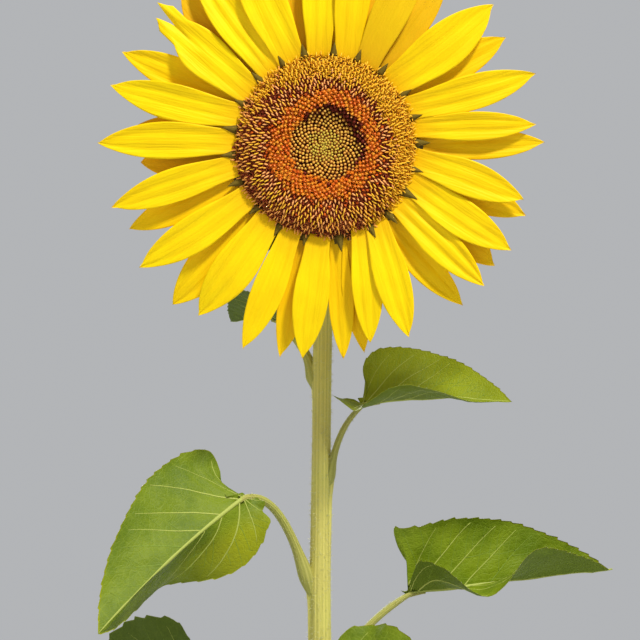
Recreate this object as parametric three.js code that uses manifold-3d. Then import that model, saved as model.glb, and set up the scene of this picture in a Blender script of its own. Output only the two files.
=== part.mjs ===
// A sunflower plant in full bloom, rooted in the ground: one upright stem, sixteen leaves on
// their petioles, and one head that faces forward, with a seed disc, thirty-four rays, a
// receptacle behind them and a ring of green bracts.
//
// Millimetres, +Z up. The origin is the centre of the stem's flat cut at ground level, the
// flower faces -Y, and angles are in degrees.
import * as THREE from "three";
import { mergeVertices } from "three/addons/utils/BufferGeometryUtils.js";
import Module from "manifold-3d";

const wasm = await Module();
wasm.setup();

// ---------------------------------------------------------------- driving dimensions

const GAP = 0.3; // clearance between pieces that touch
const SLIVER = 0.1; // details of a cut smaller than this are smoothed away
const TINY = 1e-6; // below this a length or an angle counts as none

const STEM = {
  straight: 1258, // height at which the neck starts to bend forward
  bendRadius: 55,
  topRadius: 7.4,
  footRadius: 13,
  taperPower: 1.6,
  flare: 8, // extra radius of the root flare at ground level
  flareFade: 28, // height over which the flare dies away
  flareLobes: 5,
  flareLobeShare: 0.25,
  neckRadius: 10.8, // where the neck meets the receptacle
  neckSwell: 80, // length over which the neck swells
  sway: -7, // sideways bow of the lower stem
  swayTop: 1000, // height at which the bow has died away
  sides: 12,
  footRings: [0, 10, 24, 45, 80, 140], // ring heights in the root flare
  shaftFoot: 240, // the shaft's even rings start here
  shaftTop: 1254,
  shaftRings: 8,
  neckRings: 7,
};

const HEAD = {
  tilt: 5, // how far the flower looks below level
  shift: 3, // to the right of the stem's foot
  shelf: 60, // radius of the receptacle's rim, which carries the rays
  back: -36, // where the receptacle's back meets the neck, behind the rim
  discRadius: 55.5,
  neckStep: 0.4, // how far the receptacle's back stands out round the neck
  segments: 28,
};

const RAY = {
  root: 56, // distance of a front ray's root from the flower's axis
  thickness: 0.8,
  rootHeight: 0.6, // of a front ray's mid-surface above the rim
  rise: 13, // how far a front ray's tip would climb if it stayed straight
  recurve: 13, // how far its tip bends back
  cup: 0.1, // lift of the edges, as a share of the half-width
  rootShare: 0.3, // root width as a share of the full width
  widest: 0.42, // where along the ray it is widest
  closing: 0.8, // how bluntly it closes past there
  tipWidth: 1.4,
  steps: 5,
};

const BACK_WHORL = {
  root: 61.2,
  rootHeight: -2.1,
  rise: 2,
  recurve: 6,
  collarInner: 60.4,
  collarOuter: 62.6,
  collarLow: -3.2,
  collarHigh: -1.1,
};

// The bracts' cup, round the outside from the back: [distance from the rim's radius, height].
const BRACTS = {
  count: 21,
  tipRadius: 84,
  valleyRadius: 65,
  outside: [[-19, -21.5], [-2, -11]],
  tip: [-9.3, -8.2], // heights of the under and upper side at the tips
  inside: [[0.5, -4.5], [-5.5, -10.5], [-19.4, -19.2]],
};

// The seed disc's upper side, from its rim inwards: [distance from the rim, height].
const DISC = {
  foot: 1,
  crown: [[0, 3], [3, 7.5], [11, 11], [21, 11.5], [29, 8.5], [36, 6]],
  hollow: 5.2, // height at the centre
};

// The receptacle's flank, from the rim back to the neck: [distance in from the rim, height].
const FLANK = [[0, -4], [6, -10], [20, -18.5], [36, -27]];

const LEAF = {
  thickness: 1.2,
  sides: 20,
  innerRing: 0.55, // where the fan's inner ring lies, as a share of the way to the margin
  shoulder: 0.6, // angle over which the margin draws in from the tip, in radians
  notchDepth: 0.97, // of the notch at the base, as a share of the blade there
  notchPower: 1.2, // how suddenly the notch starts
  petioleTip: 2.7,
  petioleRoot: 4,
  petioleSides: 6,
  petioleSteps: 6,
  petioleStart: 0.4, // length of the petiole's handle at the stem, as a share of its reach
  petioleEnd: 0.3, // and at the blade
};

// Front rays, anticlockwise from the right: where the root sits, where the tip points, how
// far the tip reaches from the flower's axis, the full width and the turn about its length.
const FRONT_RAYS = [
  { root: 12, tip: 6, reach: 130, width: 18, turn: 4 },
  { root: 25, tip: 19, reach: 136, width: 22, turn: 4 },
  { root: 43, tip: 40, reach: 134, width: 28, turn: 3 },
  { root: 63, tip: 63, reach: 133, width: 23, turn: 4 },
  { root: 76, tip: 80, reach: 135, width: 22, turn: 5 },
  { root: 94, tip: 91, reach: 133, width: 22, turn: 5 },
  { root: 111, tip: 113, reach: 135, width: 27, turn: 5 },
  { root: 125, tip: 126, reach: 136, width: 26, turn: 5 },
  { root: 144, tip: 141, reach: 133, width: 27, turn: 5 },
  { root: 160, tip: 164, reach: 136, width: 23, turn: -4 },
  { root: 177, tip: 179, reach: 139, width: 23, turn: -4 },
  { root: 192, tip: 196, reach: 136, width: 21, turn: -4 },
  { root: 213, tip: 213, reach: 136, width: 23, turn: -4 },
  { root: 232, tip: 233, reach: 130, width: 26, turn: -4 },
  { root: 248, tip: 248, reach: 134, width: 20, turn: -4 },
  { root: 266, tip: 264, reach: 131, width: 22, turn: -4 },
  { root: 294, tip: 283, reach: 124, width: 19, turn: -4 },
  { root: 305, tip: 294, reach: 128, width: 22, turn: -4 },
  { root: 323, tip: 319, reach: 130, width: 21, turn: -3 },
  { root: 338, tip: 331, reach: 131, width: 23, turn: -3 },
  { root: 352, tip: 345, reach: 126, width: 22, turn: -3 },
];

// The thirteen rays of the back whorl, which one thin collar joins.
const BACK_RAYS = [
  { root: 33, tip: 31, reach: 129, width: 22, turn: 3 },
  { root: 53, tip: 55, reach: 131, width: 23, turn: 3 },
  { root: 81, tip: 85, reach: 127, width: 17, turn: 3 },
  { root: 152, tip: 155, reach: 137, width: 22, turn: -3 },
  { root: 200, tip: 200, reach: 131, width: 19, turn: -3 },
  { root: 222, tip: 226, reach: 136, width: 23, turn: -3 },
  { root: 256, tip: 258, reach: 133, width: 18, turn: 3 },
  { root: 278, tip: 275, reach: 132, width: 16, turn: 3 },
  { root: 286, tip: 281, reach: 130, width: 16, turn: 3 },
  { root: 313, tip: 312, reach: 127, width: 18, turn: 3 },
  { root: 330, tip: 325, reach: 128, width: 24, turn: 3 },
  { root: 345, tip: 341, reach: 131, width: 22, turn: 3 },
  { root: 359, tip: 1, reach: 135, width: 19, turn: 3 },
];

// The six upper leaves, from the top down. node is the height on the stem and azimuth the
// way the petiole leaves it; out and rise place the blade's base from there, lean is how
// far the petiole leans out where it starts, and join its slope where it meets the blade.
// heading, pitch and droop carry the midrib, roll turns the blade about it, and left and
// right give each half's lift at base, middle and tip and the curl across it.
const UPPER_LEAVES = [
  {
    node: 1168, azimuth: 150, out: 31, rise: 34, lean: 0.5, join: 30, length: 68,
    breadth: 0.42, base: 0.8, heading: 122, pitch: 6, droop: 14, roll: 0,
    left: [35, 40, 40, 10], right: [35, 40, 40, 10],
  },
  {
    node: 1089, azimuth: 332, out: 30, rise: 59, lean: 1.7, join: 55, length: 101,
    breadth: 0.36, base: 0.94, heading: -15, pitch: 9, droop: 16, roll: 25,
    left: [9, 28, 27, 59], right: [11, 30, 31, 79],
  },
  {
    node: 1020, azimuth: 220, out: 63, rise: 70, lean: 0.5, join: -8, length: 139,
    breadth: 0.31, base: 1.12, heading: 220, pitch: -29, droop: 12, roll: -43,
    left: [29, 29, 67, 37], right: [-2, 7, 7, 100],
  },
  {
    node: 961, azimuth: 11, out: 59, rise: 62, lean: 0.5, join: 30, length: 150,
    breadth: 0.31, base: 1.26, heading: 15, pitch: 5, droop: 0, roll: 4,
    left: [83, 74, 75, 88], right: [32, 33, 52, -52],
  },
  {
    node: 910, azimuth: 276, out: 65, rise: 58, lean: 0.5, join: -5, length: 142,
    breadth: 0.42, base: 0.6, heading: 298, pitch: -42, droop: 28, roll: 17,
    left: [28, 28, 28, 12], right: [22, 22, 22, 12],
  },
  {
    node: 872, azimuth: 162, out: 88, rise: 81, lean: 0.5, join: -5, length: 154,
    breadth: 0.42, base: 0.6, heading: 136, pitch: -46, droop: 34, roll: 34,
    left: [33, 33, 33, 3], right: [25, 25, 25, 3],
  },
];

// The ten lower leaves follow one rule down the stem: larger, flatter and hanging more.
const LOWER_LEAVES = {
  count: 10,
  topNode: 815,
  spacing: 58,
  firstAzimuth: 70,
  goldenAngle: 137.5,
  out: [88, 120],
  rise: [62, 40],
  length: [165, 205],
  breadth: [0.43, 0.47],
  base: 0.52,
  lean: 0.5,
  join: [-2, -12],
  pitch: [-16, -40],
  droop: [38, 52],
  lift: [20, 11],
  curl: 8,
  wobble: 5, // how far headings, rolls and lengths stray
  wander: 2.4, // how that straying moves on from leaf to leaf, in radians
};

// ---------------------------------------------------------------- colours

const finish = (colour, roughness) =>
  new THREE.MeshStandardMaterial({ color: colour, roughness, metalness: 0 });
const STEM_FINISH = finish("#aab04a", 0.7);
const LEAF_FINISH = finish("#6f8f2a", 0.6);
const RAY_FINISH = finish("#f7d508", 0.5);
const BACK_RAY_FINISH = finish("#d9a808", 0.5);
const DISC_FINISH = finish("#8a4a1c", 0.85);
const RECEPTACLE_FINISH = finish("#86a040", 0.7);
const BRACT_FINISH = finish("#4f6d28", 0.7);

// ---------------------------------------------------------------- shape helpers

const radians = THREE.MathUtils.degToRad;
const mix = THREE.MathUtils.lerp;
const smooth = THREE.MathUtils.smoothstep;
const UPWARD = new THREE.Vector3(0, 0, 1);

// Moves every vertex of a geometry to where place says.
function reshape(geometry, place) {
  const position = geometry.getAttribute("position");
  const point = new THREE.Vector3();
  for (let i = 0; i < position.count; i++) {
    point.fromBufferAttribute(position, i);
    position.setXYZ(i, ...place(point).toArray());
  }
  return geometry;
}

// The same surface with its seams closed and its collapsed triangles gone.
function sealed(geometry) {
  const bare = geometry.clone();
  bare.deleteAttribute("normal");
  bare.deleteAttribute("uv");
  const merged = mergeVertices(bare);
  const corners = merged.index.array;
  const kept = [];
  for (let i = 0; i < corners.length; i += 3) {
    const [a, b, c] = corners.slice(i, i + 3);
    if (a !== b && b !== c && c !== a) kept.push(a, b, c);
  }
  return new THREE.BufferGeometry()
    .setAttribute("position", merged.getAttribute("position"))
    .setIndex(kept);
}

function toManifold(geometry) {
  const { attributes, index } = sealed(geometry);
  return new wasm.Manifold(
    new wasm.Mesh({
      numProp: 3,
      vertProperties: new Float32Array(attributes.position.array),
      triVerts: new Uint32Array(index.array),
    }),
  );
}

function fromManifold(solid) {
  const { vertProperties, triVerts } = solid.getMesh();
  return new THREE.BufferGeometry()
    .setAttribute("position", new THREE.BufferAttribute(vertProperties, 3))
    .setIndex(new THREE.BufferAttribute(triVerts, 1));
}

// What is left of a geometry once a neighbour's room is cut out: its largest piece.
function cutClear(geometry, room) {
  const pieces = toManifold(geometry).subtract(toManifold(room)).decompose();
  pieces.sort((a, b) => b.volume() - a.volume());
  return fromManifold(pieces[0].simplify(SLIVER));
}

function mesh(name, geometry, material) {
  const made = new THREE.Mesh(geometry, material);
  made.name = name;
  return made;
}

const numbered = (word, i) => `${word}_${String(i + 1).padStart(2, "0")}`;

// A closed limb along a curve, with one ring of sides at each station.
function limb(curve, stations, radiusAt, sides) {
  const steps = stations.length - 1;
  let across = new THREE.Vector3(1, 0, 0);
  const rings = stations.map((t) => {
    const tangent = curve.getTangentAt(t);
    across = across.clone().projectOnPlane(tangent).normalize();
    const beside = new THREE.Vector3().crossVectors(across, tangent);
    return { t, centre: curve.getPointAt(t), across, beside };
  });
  const tube = new THREE.CylinderGeometry(1, 1, 1, sides, steps);
  return reshape(tube, (p) => {
    const ring = rings[Math.round((p.y + 0.5) * steps)];
    const radius = radiusAt(ring.t, Math.atan2(p.x, p.z));
    return ring.centre
      .clone()
      .addScaledVector(ring.across, p.x * radius)
      .addScaledVector(ring.beside, p.z * radius);
  });
}

const evenly = (steps) => Array.from({ length: steps + 1 }, (_, i) => i / steps);

// ---------------------------------------------------------------- stem

// The stem's axis: upright with a slight bow, then an arc forward into the head.
class StemAxis extends THREE.Curve {
  constructor() {
    super();
    this.bend = radians(90 + HEAD.tilt);
    this.length = STEM.straight + STEM.bendRadius * this.bend;
  }

  // The point at a height on the straight stretch, or along the arc above it.
  at(along) {
    const swayed = Math.min(along, STEM.swayTop) / STEM.swayTop;
    const turned = Math.max(0, along - STEM.straight) / STEM.bendRadius;
    const shift = HEAD.shift * smooth(along, STEM.swayTop, this.length);
    return new THREE.Vector3(
      STEM.sway * Math.sin(Math.PI * swayed) ** 2 + shift,
      STEM.bendRadius * (Math.cos(turned) - 1),
      Math.min(along, STEM.straight) + STEM.bendRadius * Math.sin(turned),
    );
  }

  getPoint(t) {
    return this.at(t * this.length);
  }
}

const stemAxis = new StemAxis();

function stemRadius(along, angle) {
  const left = 1 - Math.min(1, along / STEM.straight);
  const taper = (STEM.footRadius - STEM.topRadius) * left ** STEM.taperPower;
  const lobes = 1 + STEM.flareLobeShare * Math.cos(STEM.flareLobes * angle);
  const flare = STEM.flare * lobes * Math.exp(-along / STEM.flareFade);
  const swell = smooth(along, stemAxis.length - STEM.neckSwell, stemAxis.length);
  return STEM.topRadius + taper + flare + (STEM.neckRadius - STEM.topRadius) * swell;
}

// Rings close together in the root flare and the neck, and far apart between them.
function stemStations() {
  const shaft = evenly(STEM.shaftRings).map((t) => mix(STEM.shaftFoot, STEM.shaftTop, t));
  const neck = evenly(STEM.neckRings).map((t) => mix(STEM.straight, stemAxis.length, t));
  return [...STEM.footRings, ...shaft, ...neck.slice(1)].map((along) => along / stemAxis.length);
}

function stemSolid(clearance) {
  const radiusAt = (t, angle) => stemRadius(t * stemAxis.length, angle) + clearance;
  const solid = limb(stemAxis, stemStations(), radiusAt, STEM.sides);
  // The foot is one level cut.
  return reshape(solid, (p) => (p.z < 1 ? p.clone().setZ(0) : p.clone()));
}

// ---------------------------------------------------------------- leaves

// A leaf's margin: distance from the blade's base, as a share of its length, at an angle
// from the midrib. breadth sets how full the sides are and base how deep the notch is cut.
function marginReach(angle, breadth, base) {
  const body = breadth + (1 - breadth) * Math.exp(-angle / LEAF.shoulder);
  const notch = LEAF.notchDepth * Math.exp(-(((Math.PI - angle) / base) ** LEAF.notchPower));
  return body * (1 - notch);
}

// A value that runs through three given ones at base, middle and tip.
function along3([atBase, atMiddle, atTip], u) {
  const t = THREE.MathUtils.clamp(u, 0, 1);
  return (
    atBase * (2 * t - 1) * (t - 1) + atMiddle * 4 * t * (1 - t) + atTip * t * (2 * t - 1)
  );
}

// Sine and cosine integrals of a bend that starts at one angle and turns evenly.
function bent(start, turn, distance) {
  const rate = Math.abs(turn) < TINY ? TINY : turn;
  const end = start + rate * distance;
  return {
    run: (Math.sin(end) - Math.sin(start)) / rate,
    climb: (Math.cos(start) - Math.cos(end)) / rate,
    end,
  };
}

// Carries a point of the flat blade (forward, leftward, above) to its place in the leaf.
function bladePoint(leaf, forward, leftward, above) {
  const { length } = leaf;
  const side = leftward < 0 ? -1 : 1;
  const half = side < 0 ? leaf.right : leaf.left;
  const u = forward / length;

  const midrib = bent(radians(leaf.pitch), -radians(leaf.droop) / length, Math.max(0, forward));
  const behind = Math.min(0, forward);
  const x = midrib.run + behind * Math.cos(radians(leaf.pitch));
  const z = midrib.climb + behind * Math.sin(radians(leaf.pitch));

  const lift = radians(along3(half, u));
  const across = bent(lift, radians(half[3]) / length, Math.abs(leftward));
  const onMidrib = Math.abs(leftward) < TINY;
  const facing = onMidrib ? 0 : across.end;
  const sideways = side * (across.run - above * Math.sin(facing));
  const up = across.climb + above * Math.cos(facing);

  const roll = radians(leaf.roll);
  const y = sideways * Math.cos(roll) - up * Math.sin(roll);
  const n = sideways * Math.sin(roll) + up * Math.cos(roll);
  return new THREE.Vector3(x - n * Math.sin(midrib.end), y, z + n * Math.cos(midrib.end));
}

// The blade as one thin closed slab, fanned out round the point where the petiole joins.
function bladeSolid(leaf) {
  const h = LEAF.thickness / 2;
  const profile = [
    [0, -h],
    [LEAF.innerRing, -h],
    [1, -h],
    [1, h],
    [LEAF.innerRing, h],
    [0, h],
  ].map(([r, y]) => new THREE.Vector2(r, y));
  const slab = new THREE.LatheGeometry(profile, LEAF.sides);
  return reshape(slab, (p) => {
    const angle = Math.atan2(p.x, p.z);
    const reach = leaf.length * marginReach(Math.abs(angle), leaf.breadth, leaf.base);
    const share = Math.hypot(p.x, p.z) * reach;
    return bladePoint(leaf, share * Math.cos(angle), share * Math.sin(angle), p.y);
  });
}

// The petiole's curve in the leaf's own frame: +X away from the stem, +Z up.
function petioleCurve(leaf, bladeTurn) {
  const slope = radians(leaf.join);
  const arrive = new THREE.Vector3(
    Math.cos(slope) * Math.cos(bladeTurn),
    Math.cos(slope) * Math.sin(bladeTurn),
    Math.sin(slope),
  );
  // The tip lies just under the blade's base.
  const up = bladePoint(leaf, 0, 0, 1).applyAxisAngle(UPWARD, bladeTurn);
  const reachUp = LEAF.petioleTip * new THREE.Vector3().crossVectors(arrive, up).length();
  const below = LEAF.thickness / 2 + GAP + reachUp;
  const tip = new THREE.Vector3(leaf.out, 0, leaf.rise).addScaledVector(up, -below);
  const leave = new THREE.Vector3(leaf.out * leaf.lean, 0, leaf.rise).normalize();
  const reach = tip.length();
  return new THREE.CubicBezierCurve3(
    new THREE.Vector3(0, 0, 0),
    leave.multiplyScalar(reach * LEAF.petioleStart),
    tip.clone().addScaledVector(arrive, -reach * LEAF.petioleEnd),
    tip,
  );
}

function petioleSolid(curve) {
  const radiusAt = (t) => mix(LEAF.petioleRoot, LEAF.petioleTip, Math.sqrt(t));
  return limb(curve, evenly(LEAF.petioleSteps), radiusAt, LEAF.petioleSides);
}

// One leaf as a group on the stem: its petiole, and its blade at the petiole's tip.
function leafGroup(leaf, i) {
  const group = new THREE.Group();
  group.position.copy(stemAxis.at(leaf.node));
  group.rotation.z = radians(leaf.azimuth);
  group.updateMatrix();

  const bladeTurn = radians(leaf.heading - leaf.azimuth);
  const curve = petioleCurve(leaf, bladeTurn);
  const stemRoom = stemSolid(GAP).applyMatrix4(group.matrix.clone().invert());
  const petiole = mesh(
    numbered("petiole", i),
    cutClear(petioleSolid(curve), stemRoom),
    STEM_FINISH,
  );

  const blade = mesh(numbered("leaf_blade", i), bladeSolid(leaf), LEAF_FINISH);
  blade.position.set(leaf.out, 0, leaf.rise);
  blade.rotation.z = bladeTurn;
  return group.add(petiole, blade);
}

// The rule for the lower leaves, worked out for each of them.
function lowerLeaves() {
  return Array.from({ length: LOWER_LEAVES.count }, (_, i) => {
    const down = i / (LOWER_LEAVES.count - 1);
    const between = ([top, bottom]) => mix(top, bottom, down);
    const stray = (phase) => LOWER_LEAVES.wobble * Math.sin(LOWER_LEAVES.wander * i + phase);
    const azimuth = LOWER_LEAVES.firstAzimuth + i * LOWER_LEAVES.goldenAngle;
    const lift = between(LOWER_LEAVES.lift);
    return {
      node: LOWER_LEAVES.topNode - i * LOWER_LEAVES.spacing,
      azimuth,
      out: between(LOWER_LEAVES.out),
      rise: between(LOWER_LEAVES.rise),
      length: between(LOWER_LEAVES.length) + stray(1),
      breadth: between(LOWER_LEAVES.breadth),
      base: LOWER_LEAVES.base,
      heading: azimuth + stray(0),
      lean: LOWER_LEAVES.lean,
      join: between(LOWER_LEAVES.join),
      pitch: between(LOWER_LEAVES.pitch),
      droop: between(LOWER_LEAVES.droop),
      roll: stray(2),
      left: [lift + stray(3), lift, lift, LOWER_LEAVES.curl],
      right: [lift - stray(3), lift, lift, LOWER_LEAVES.curl],
    };
  });
}

// ---------------------------------------------------------------- head

// A solid turned about the flower's axis. Each profile point is [radius, height], and a
// radius may follow the angle about the axis.
function turned(profile, segments, radiusOf = (r) => r) {
  const points = profile.map(([r, z]) => new THREE.Vector2(r, z));
  return reshape(new THREE.LatheGeometry(points, segments), (p) => {
    const angle = Math.atan2(p.x, p.z);
    const radius = radiusOf(Math.hypot(p.x, p.z), angle);
    return new THREE.Vector3(radius * Math.sin(angle), -radius * Math.cos(angle), p.y);
  });
}

// The seed disc: a raised ring of open florets round a hollow of buds.
function discSolid() {
  const crown = DISC.crown.map(([inward, height]) => [HEAD.discRadius - inward, height]);
  const profile = [[0, 0], [HEAD.discRadius - DISC.foot, 0], ...crown, [0, DISC.hollow]];
  return turned(profile, HEAD.segments);
}

// The receptacle: a shallow cone that opens from the neck to the rim.
function receptacleSolid() {
  const flank = FLANK.map(([inward, height]) => [HEAD.shelf - inward, height]).reverse();
  const neck = [STEM.neckRadius + HEAD.neckStep, HEAD.back];
  const profile = [[0, HEAD.back], neck, ...flank, [HEAD.shelf, -GAP], [0, -GAP]];
  return turned(profile, HEAD.segments);
}

// The bracts as one cup round the receptacle, its rim drawn out into pointed tips.
function bractSolid() {
  const fromRim = ([outward, height]) => [HEAD.shelf + outward, height];
  const outside = BRACTS.outside.map(fromRim);
  const inside = BRACTS.inside.map(fromRim);
  const tip = BRACTS.tip.map((height) => [BRACTS.tipRadius, height]);
  const profile = [inside.at(-1), ...outside, ...tip, ...inside];
  const scalloped = (radius, angle) => {
    const atTip = Math.cos(BRACTS.count * angle) > 0;
    return radius > BRACTS.valleyRadius && !atTip ? BRACTS.valleyRadius : radius;
  };
  return turned(profile, BRACTS.count * 2, scalloped);
}

// Half-width of a ray at a share u of its length.
function rayHalfWidth(width, u) {
  const opening = mix(RAY.rootShare, 1, smooth(u, 0, RAY.widest));
  const past = Math.max(0, u - RAY.widest) / (1 - RAY.widest);
  const closing = Math.max(0, 1 - past * past) ** RAY.closing;
  return Math.max(RAY.tipWidth / 2, (width / 2) * opening * closing);
}

// One ray as a thin slab that narrows to its root and its tip.
function raySolid(ray, whorl) {
  const root = radians(ray.root);
  const tip = radians(ray.tip);
  const from = new THREE.Vector2(Math.cos(root), Math.sin(root)).multiplyScalar(whorl.root);
  const to = new THREE.Vector2(Math.cos(tip), Math.sin(tip)).multiplyScalar(ray.reach);
  const along = to.clone().sub(from);
  const across = new THREE.Vector2(-along.y, along.x).normalize();
  const slab = new THREE.BoxGeometry(1, 2, RAY.thickness, RAY.steps, 2, 1);
  return reshape(slab, (p) => {
    const u = p.x + 0.5;
    const half = rayHalfWidth(ray.width, u);
    const turn = Math.tan(radians(ray.turn)) * smooth(u, 0, RAY.widest);
    const flat = from.clone().addScaledVector(along, u).addScaledVector(across, p.y * half);
    const lift = whorl.rise * u - whorl.recurve * u * u;
    const section = half * (RAY.cup * p.y * p.y + turn * p.y);
    return new THREE.Vector3(flat.x, flat.y, whorl.rootHeight + lift + section + p.z);
  });
}

// The back whorl: thirteen rays joined by a thin collar behind the receptacle's rim.
function backWhorlSolid() {
  const { collarInner, collarOuter, collarLow, collarHigh } = BACK_WHORL;
  const collar = turned(
    [
      [collarInner, collarHigh],
      [collarInner, collarLow],
      [collarOuter, collarLow],
      [collarOuter, collarHigh],
      [collarInner, collarHigh],
    ],
    HEAD.segments,
  );
  let whorl = toManifold(collar);
  for (const ray of BACK_RAYS) whorl = whorl.add(toManifold(raySolid(ray, BACK_WHORL)));
  return fromManifold(whorl.simplify(SLIVER));
}

function headGroup() {
  const group = new THREE.Group();
  const facing = radians(HEAD.tilt);
  const neckEnd = stemAxis.at(stemAxis.length);
  const forward = new THREE.Vector3(0, -Math.cos(facing), -Math.sin(facing));
  group.position.copy(neckEnd).addScaledVector(forward, GAP - HEAD.back);
  group.rotation.x = Math.PI / 2 + facing;

  group.add(mesh("receptacle", receptacleSolid(), RECEPTACLE_FINISH));
  group.add(mesh("bract_ring", bractSolid(), BRACT_FINISH));
  group.add(mesh("seed_disc", discSolid(), DISC_FINISH));
  FRONT_RAYS.forEach((ray, i) => {
    group.add(mesh(numbered("ray_front", i), raySolid(ray, RAY), RAY_FINISH));
  });
  group.add(mesh("ray_back_whorl", backWhorlSolid(), BACK_RAY_FINISH));
  return group;
}

// ---------------------------------------------------------------- plant

const plant = new THREE.Group();
plant.add(mesh("stem", stemSolid(0), STEM_FINISH));
plant.add(headGroup());
[...UPPER_LEAVES, ...lowerLeaves()].forEach((leaf, i) => plant.add(leafGroup(leaf, i)));

export default plant;
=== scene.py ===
"""A sunflower plant in full bloom, with everything that grows on it as real surfaces.

The classes hold their sizes in millimetres and a mesh becomes metres when it is built.
+Z is up, the flower faces -Y, and the stem's foot is the origin.
"""

import logging
import math
from collections.abc import Sequence
from dataclasses import dataclass, field, replace
from enum import Enum

import bpy
import numpy as np
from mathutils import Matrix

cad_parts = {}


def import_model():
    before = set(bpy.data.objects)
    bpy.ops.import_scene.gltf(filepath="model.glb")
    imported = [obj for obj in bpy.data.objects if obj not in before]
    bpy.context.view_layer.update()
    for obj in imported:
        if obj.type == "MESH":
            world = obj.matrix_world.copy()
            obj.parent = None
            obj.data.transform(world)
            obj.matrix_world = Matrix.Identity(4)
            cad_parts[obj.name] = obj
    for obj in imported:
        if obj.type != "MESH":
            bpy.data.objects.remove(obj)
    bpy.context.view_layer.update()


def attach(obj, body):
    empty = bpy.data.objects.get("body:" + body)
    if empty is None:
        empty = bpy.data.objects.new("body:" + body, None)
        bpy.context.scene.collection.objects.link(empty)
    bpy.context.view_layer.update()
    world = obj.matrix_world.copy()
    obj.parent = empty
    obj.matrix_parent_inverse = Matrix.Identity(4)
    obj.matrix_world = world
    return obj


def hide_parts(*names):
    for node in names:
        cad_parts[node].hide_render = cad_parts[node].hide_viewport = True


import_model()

LOG = logging.getLogger("sunflower")
Array = np.ndarray
Chance = np.random.Generator
Colour = tuple[float, float, float, float]
Place = tuple[float, float, float]
Material = bpy.types.Material
Node = bpy.types.Node
NodeTree = bpy.types.NodeTree
Socket = bpy.types.NodeSocket

METRES = 0.001  # in one millimetre
TINY = 1e-6
NEEDLE = 0.01  # the radius of a point that closes a turned solid
GOLDEN_ANGLE = math.radians(137.50776)
X_AXIS = np.array([1.0, 0.0, 0.0])
Z_AXIS = np.array([0.0, 0.0, 1.0])


class Slot(Enum):
    """The record's material slots."""

    STEM = "stem_green"
    PETIOLE = "petiole_green"
    LEAF = "leaf_green"
    RAY = "ray_yellow"
    DISC = "disc_brown"
    RECEPTACLE = "receptacle_green"
    BRACT = "bract_green"


# ---- small mathematics


def smooth(value: Array | float, low: float, high: float) -> Array:
    """A smooth step of a value, from zero at low to one at high."""
    t = np.clip((np.asarray(value, float) - low) / (high - low), 0.0, 1.0)
    return t * t * (3.0 - 2.0 * t)


def hump(value: Array | float, centre: float, width: float) -> Array:
    """A bell of height one at a centre, which falls to about a third at its width from there."""
    return np.exp(-(((np.asarray(value, float) - centre) / width) ** 2))


def unit(vectors: Array) -> Array:
    """The same directions with length one."""
    length = np.linalg.norm(vectors, axis=-1, keepdims=True)
    return vectors / np.maximum(length, TINY)


def together(*parts: Array | float) -> Array:
    """Numbers side by side on a new last axis, each spread to the shape that all share."""
    return np.stack(np.broadcast_arrays(*parts), axis=-1)


def level_ways(angle: Array | float) -> Array:
    """The level directions at angles in radians."""
    return together(np.cos(angle), np.sin(angle), 0.0)


def wrapped(angle: Array | float) -> Array:
    """Angles brought between half a turn back and half a turn on."""
    return np.angle(np.exp(1j * angle))


def turned_about_z(points: Array, degrees: float) -> Array:
    """Rows of x, y and z turned about the upright axis, anticlockwise from above."""
    c, s = math.cos(math.radians(degrees)), math.sin(math.radians(degrees))
    x, y, z = points[..., 0], points[..., 1], points[..., 2]
    return together(x * c - y * s, x * s + y * c, z)


def stationed(values: Sequence[float], share: Array, first: float = 0.0, blur: float = 0.09) -> Array:
    """A value that runs softly through given ones at even steps.

    Args:
        values: The values, of which the last one stands at a share of one.
        share: How far along.
        first: The share at which the first value stands.
        blur: How far to either side the value is evened out.

    Returns:
        The value at each share.
    """
    steps = np.linspace(first, 1.0, len(values)) if len(values) > 1 else [first]
    offsets = np.linspace(-blur, blur, 7)
    return np.mean([np.interp(share + o, steps, values) for o in offsets], axis=0)


def turns(count: int) -> Array:
    """Angles that divide a full turn evenly."""
    return np.arange(count) * math.tau / count


def ways_round(first: Array, second: Array, angle: Array) -> Array:
    """The directions at angles from a first axis towards a second one."""
    return first * np.cos(angle)[..., None] + second * np.sin(angle)[..., None]


def bent(start: Array | float, rate: Array | float, distance: Array) -> tuple[Array, Array, Array]:
    """Follows a line that starts at one angle and turns evenly.

    Args:
        start: The angle it starts at, in radians.
        rate: How fast it turns, in radians per millimetre.
        distance: How far along it to go.

    Returns:
        The run, the climb and the angle reached.
    """
    safe = np.where(np.abs(rate) < TINY, TINY, rate)
    end = start + safe * distance
    return (np.sin(end) - np.sin(start)) / safe, (np.cos(start) - np.cos(end)) / safe, end


def ripple(first: Array, second: Array, seed: float) -> Array:
    """A gentle uneven wave between about -1 and 1, over two coordinates in turns."""
    a, b = first * math.tau, second * math.tau
    waves = 0.45 * np.sin(a + seed) + 0.35 * np.sin(b * 1.3 + 0.6 * a + 2.1 * seed)
    return waves + 0.2 * np.sin(2.3 * a - 1.7 * b + 3.7 * seed)


# ---- surfaces


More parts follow.
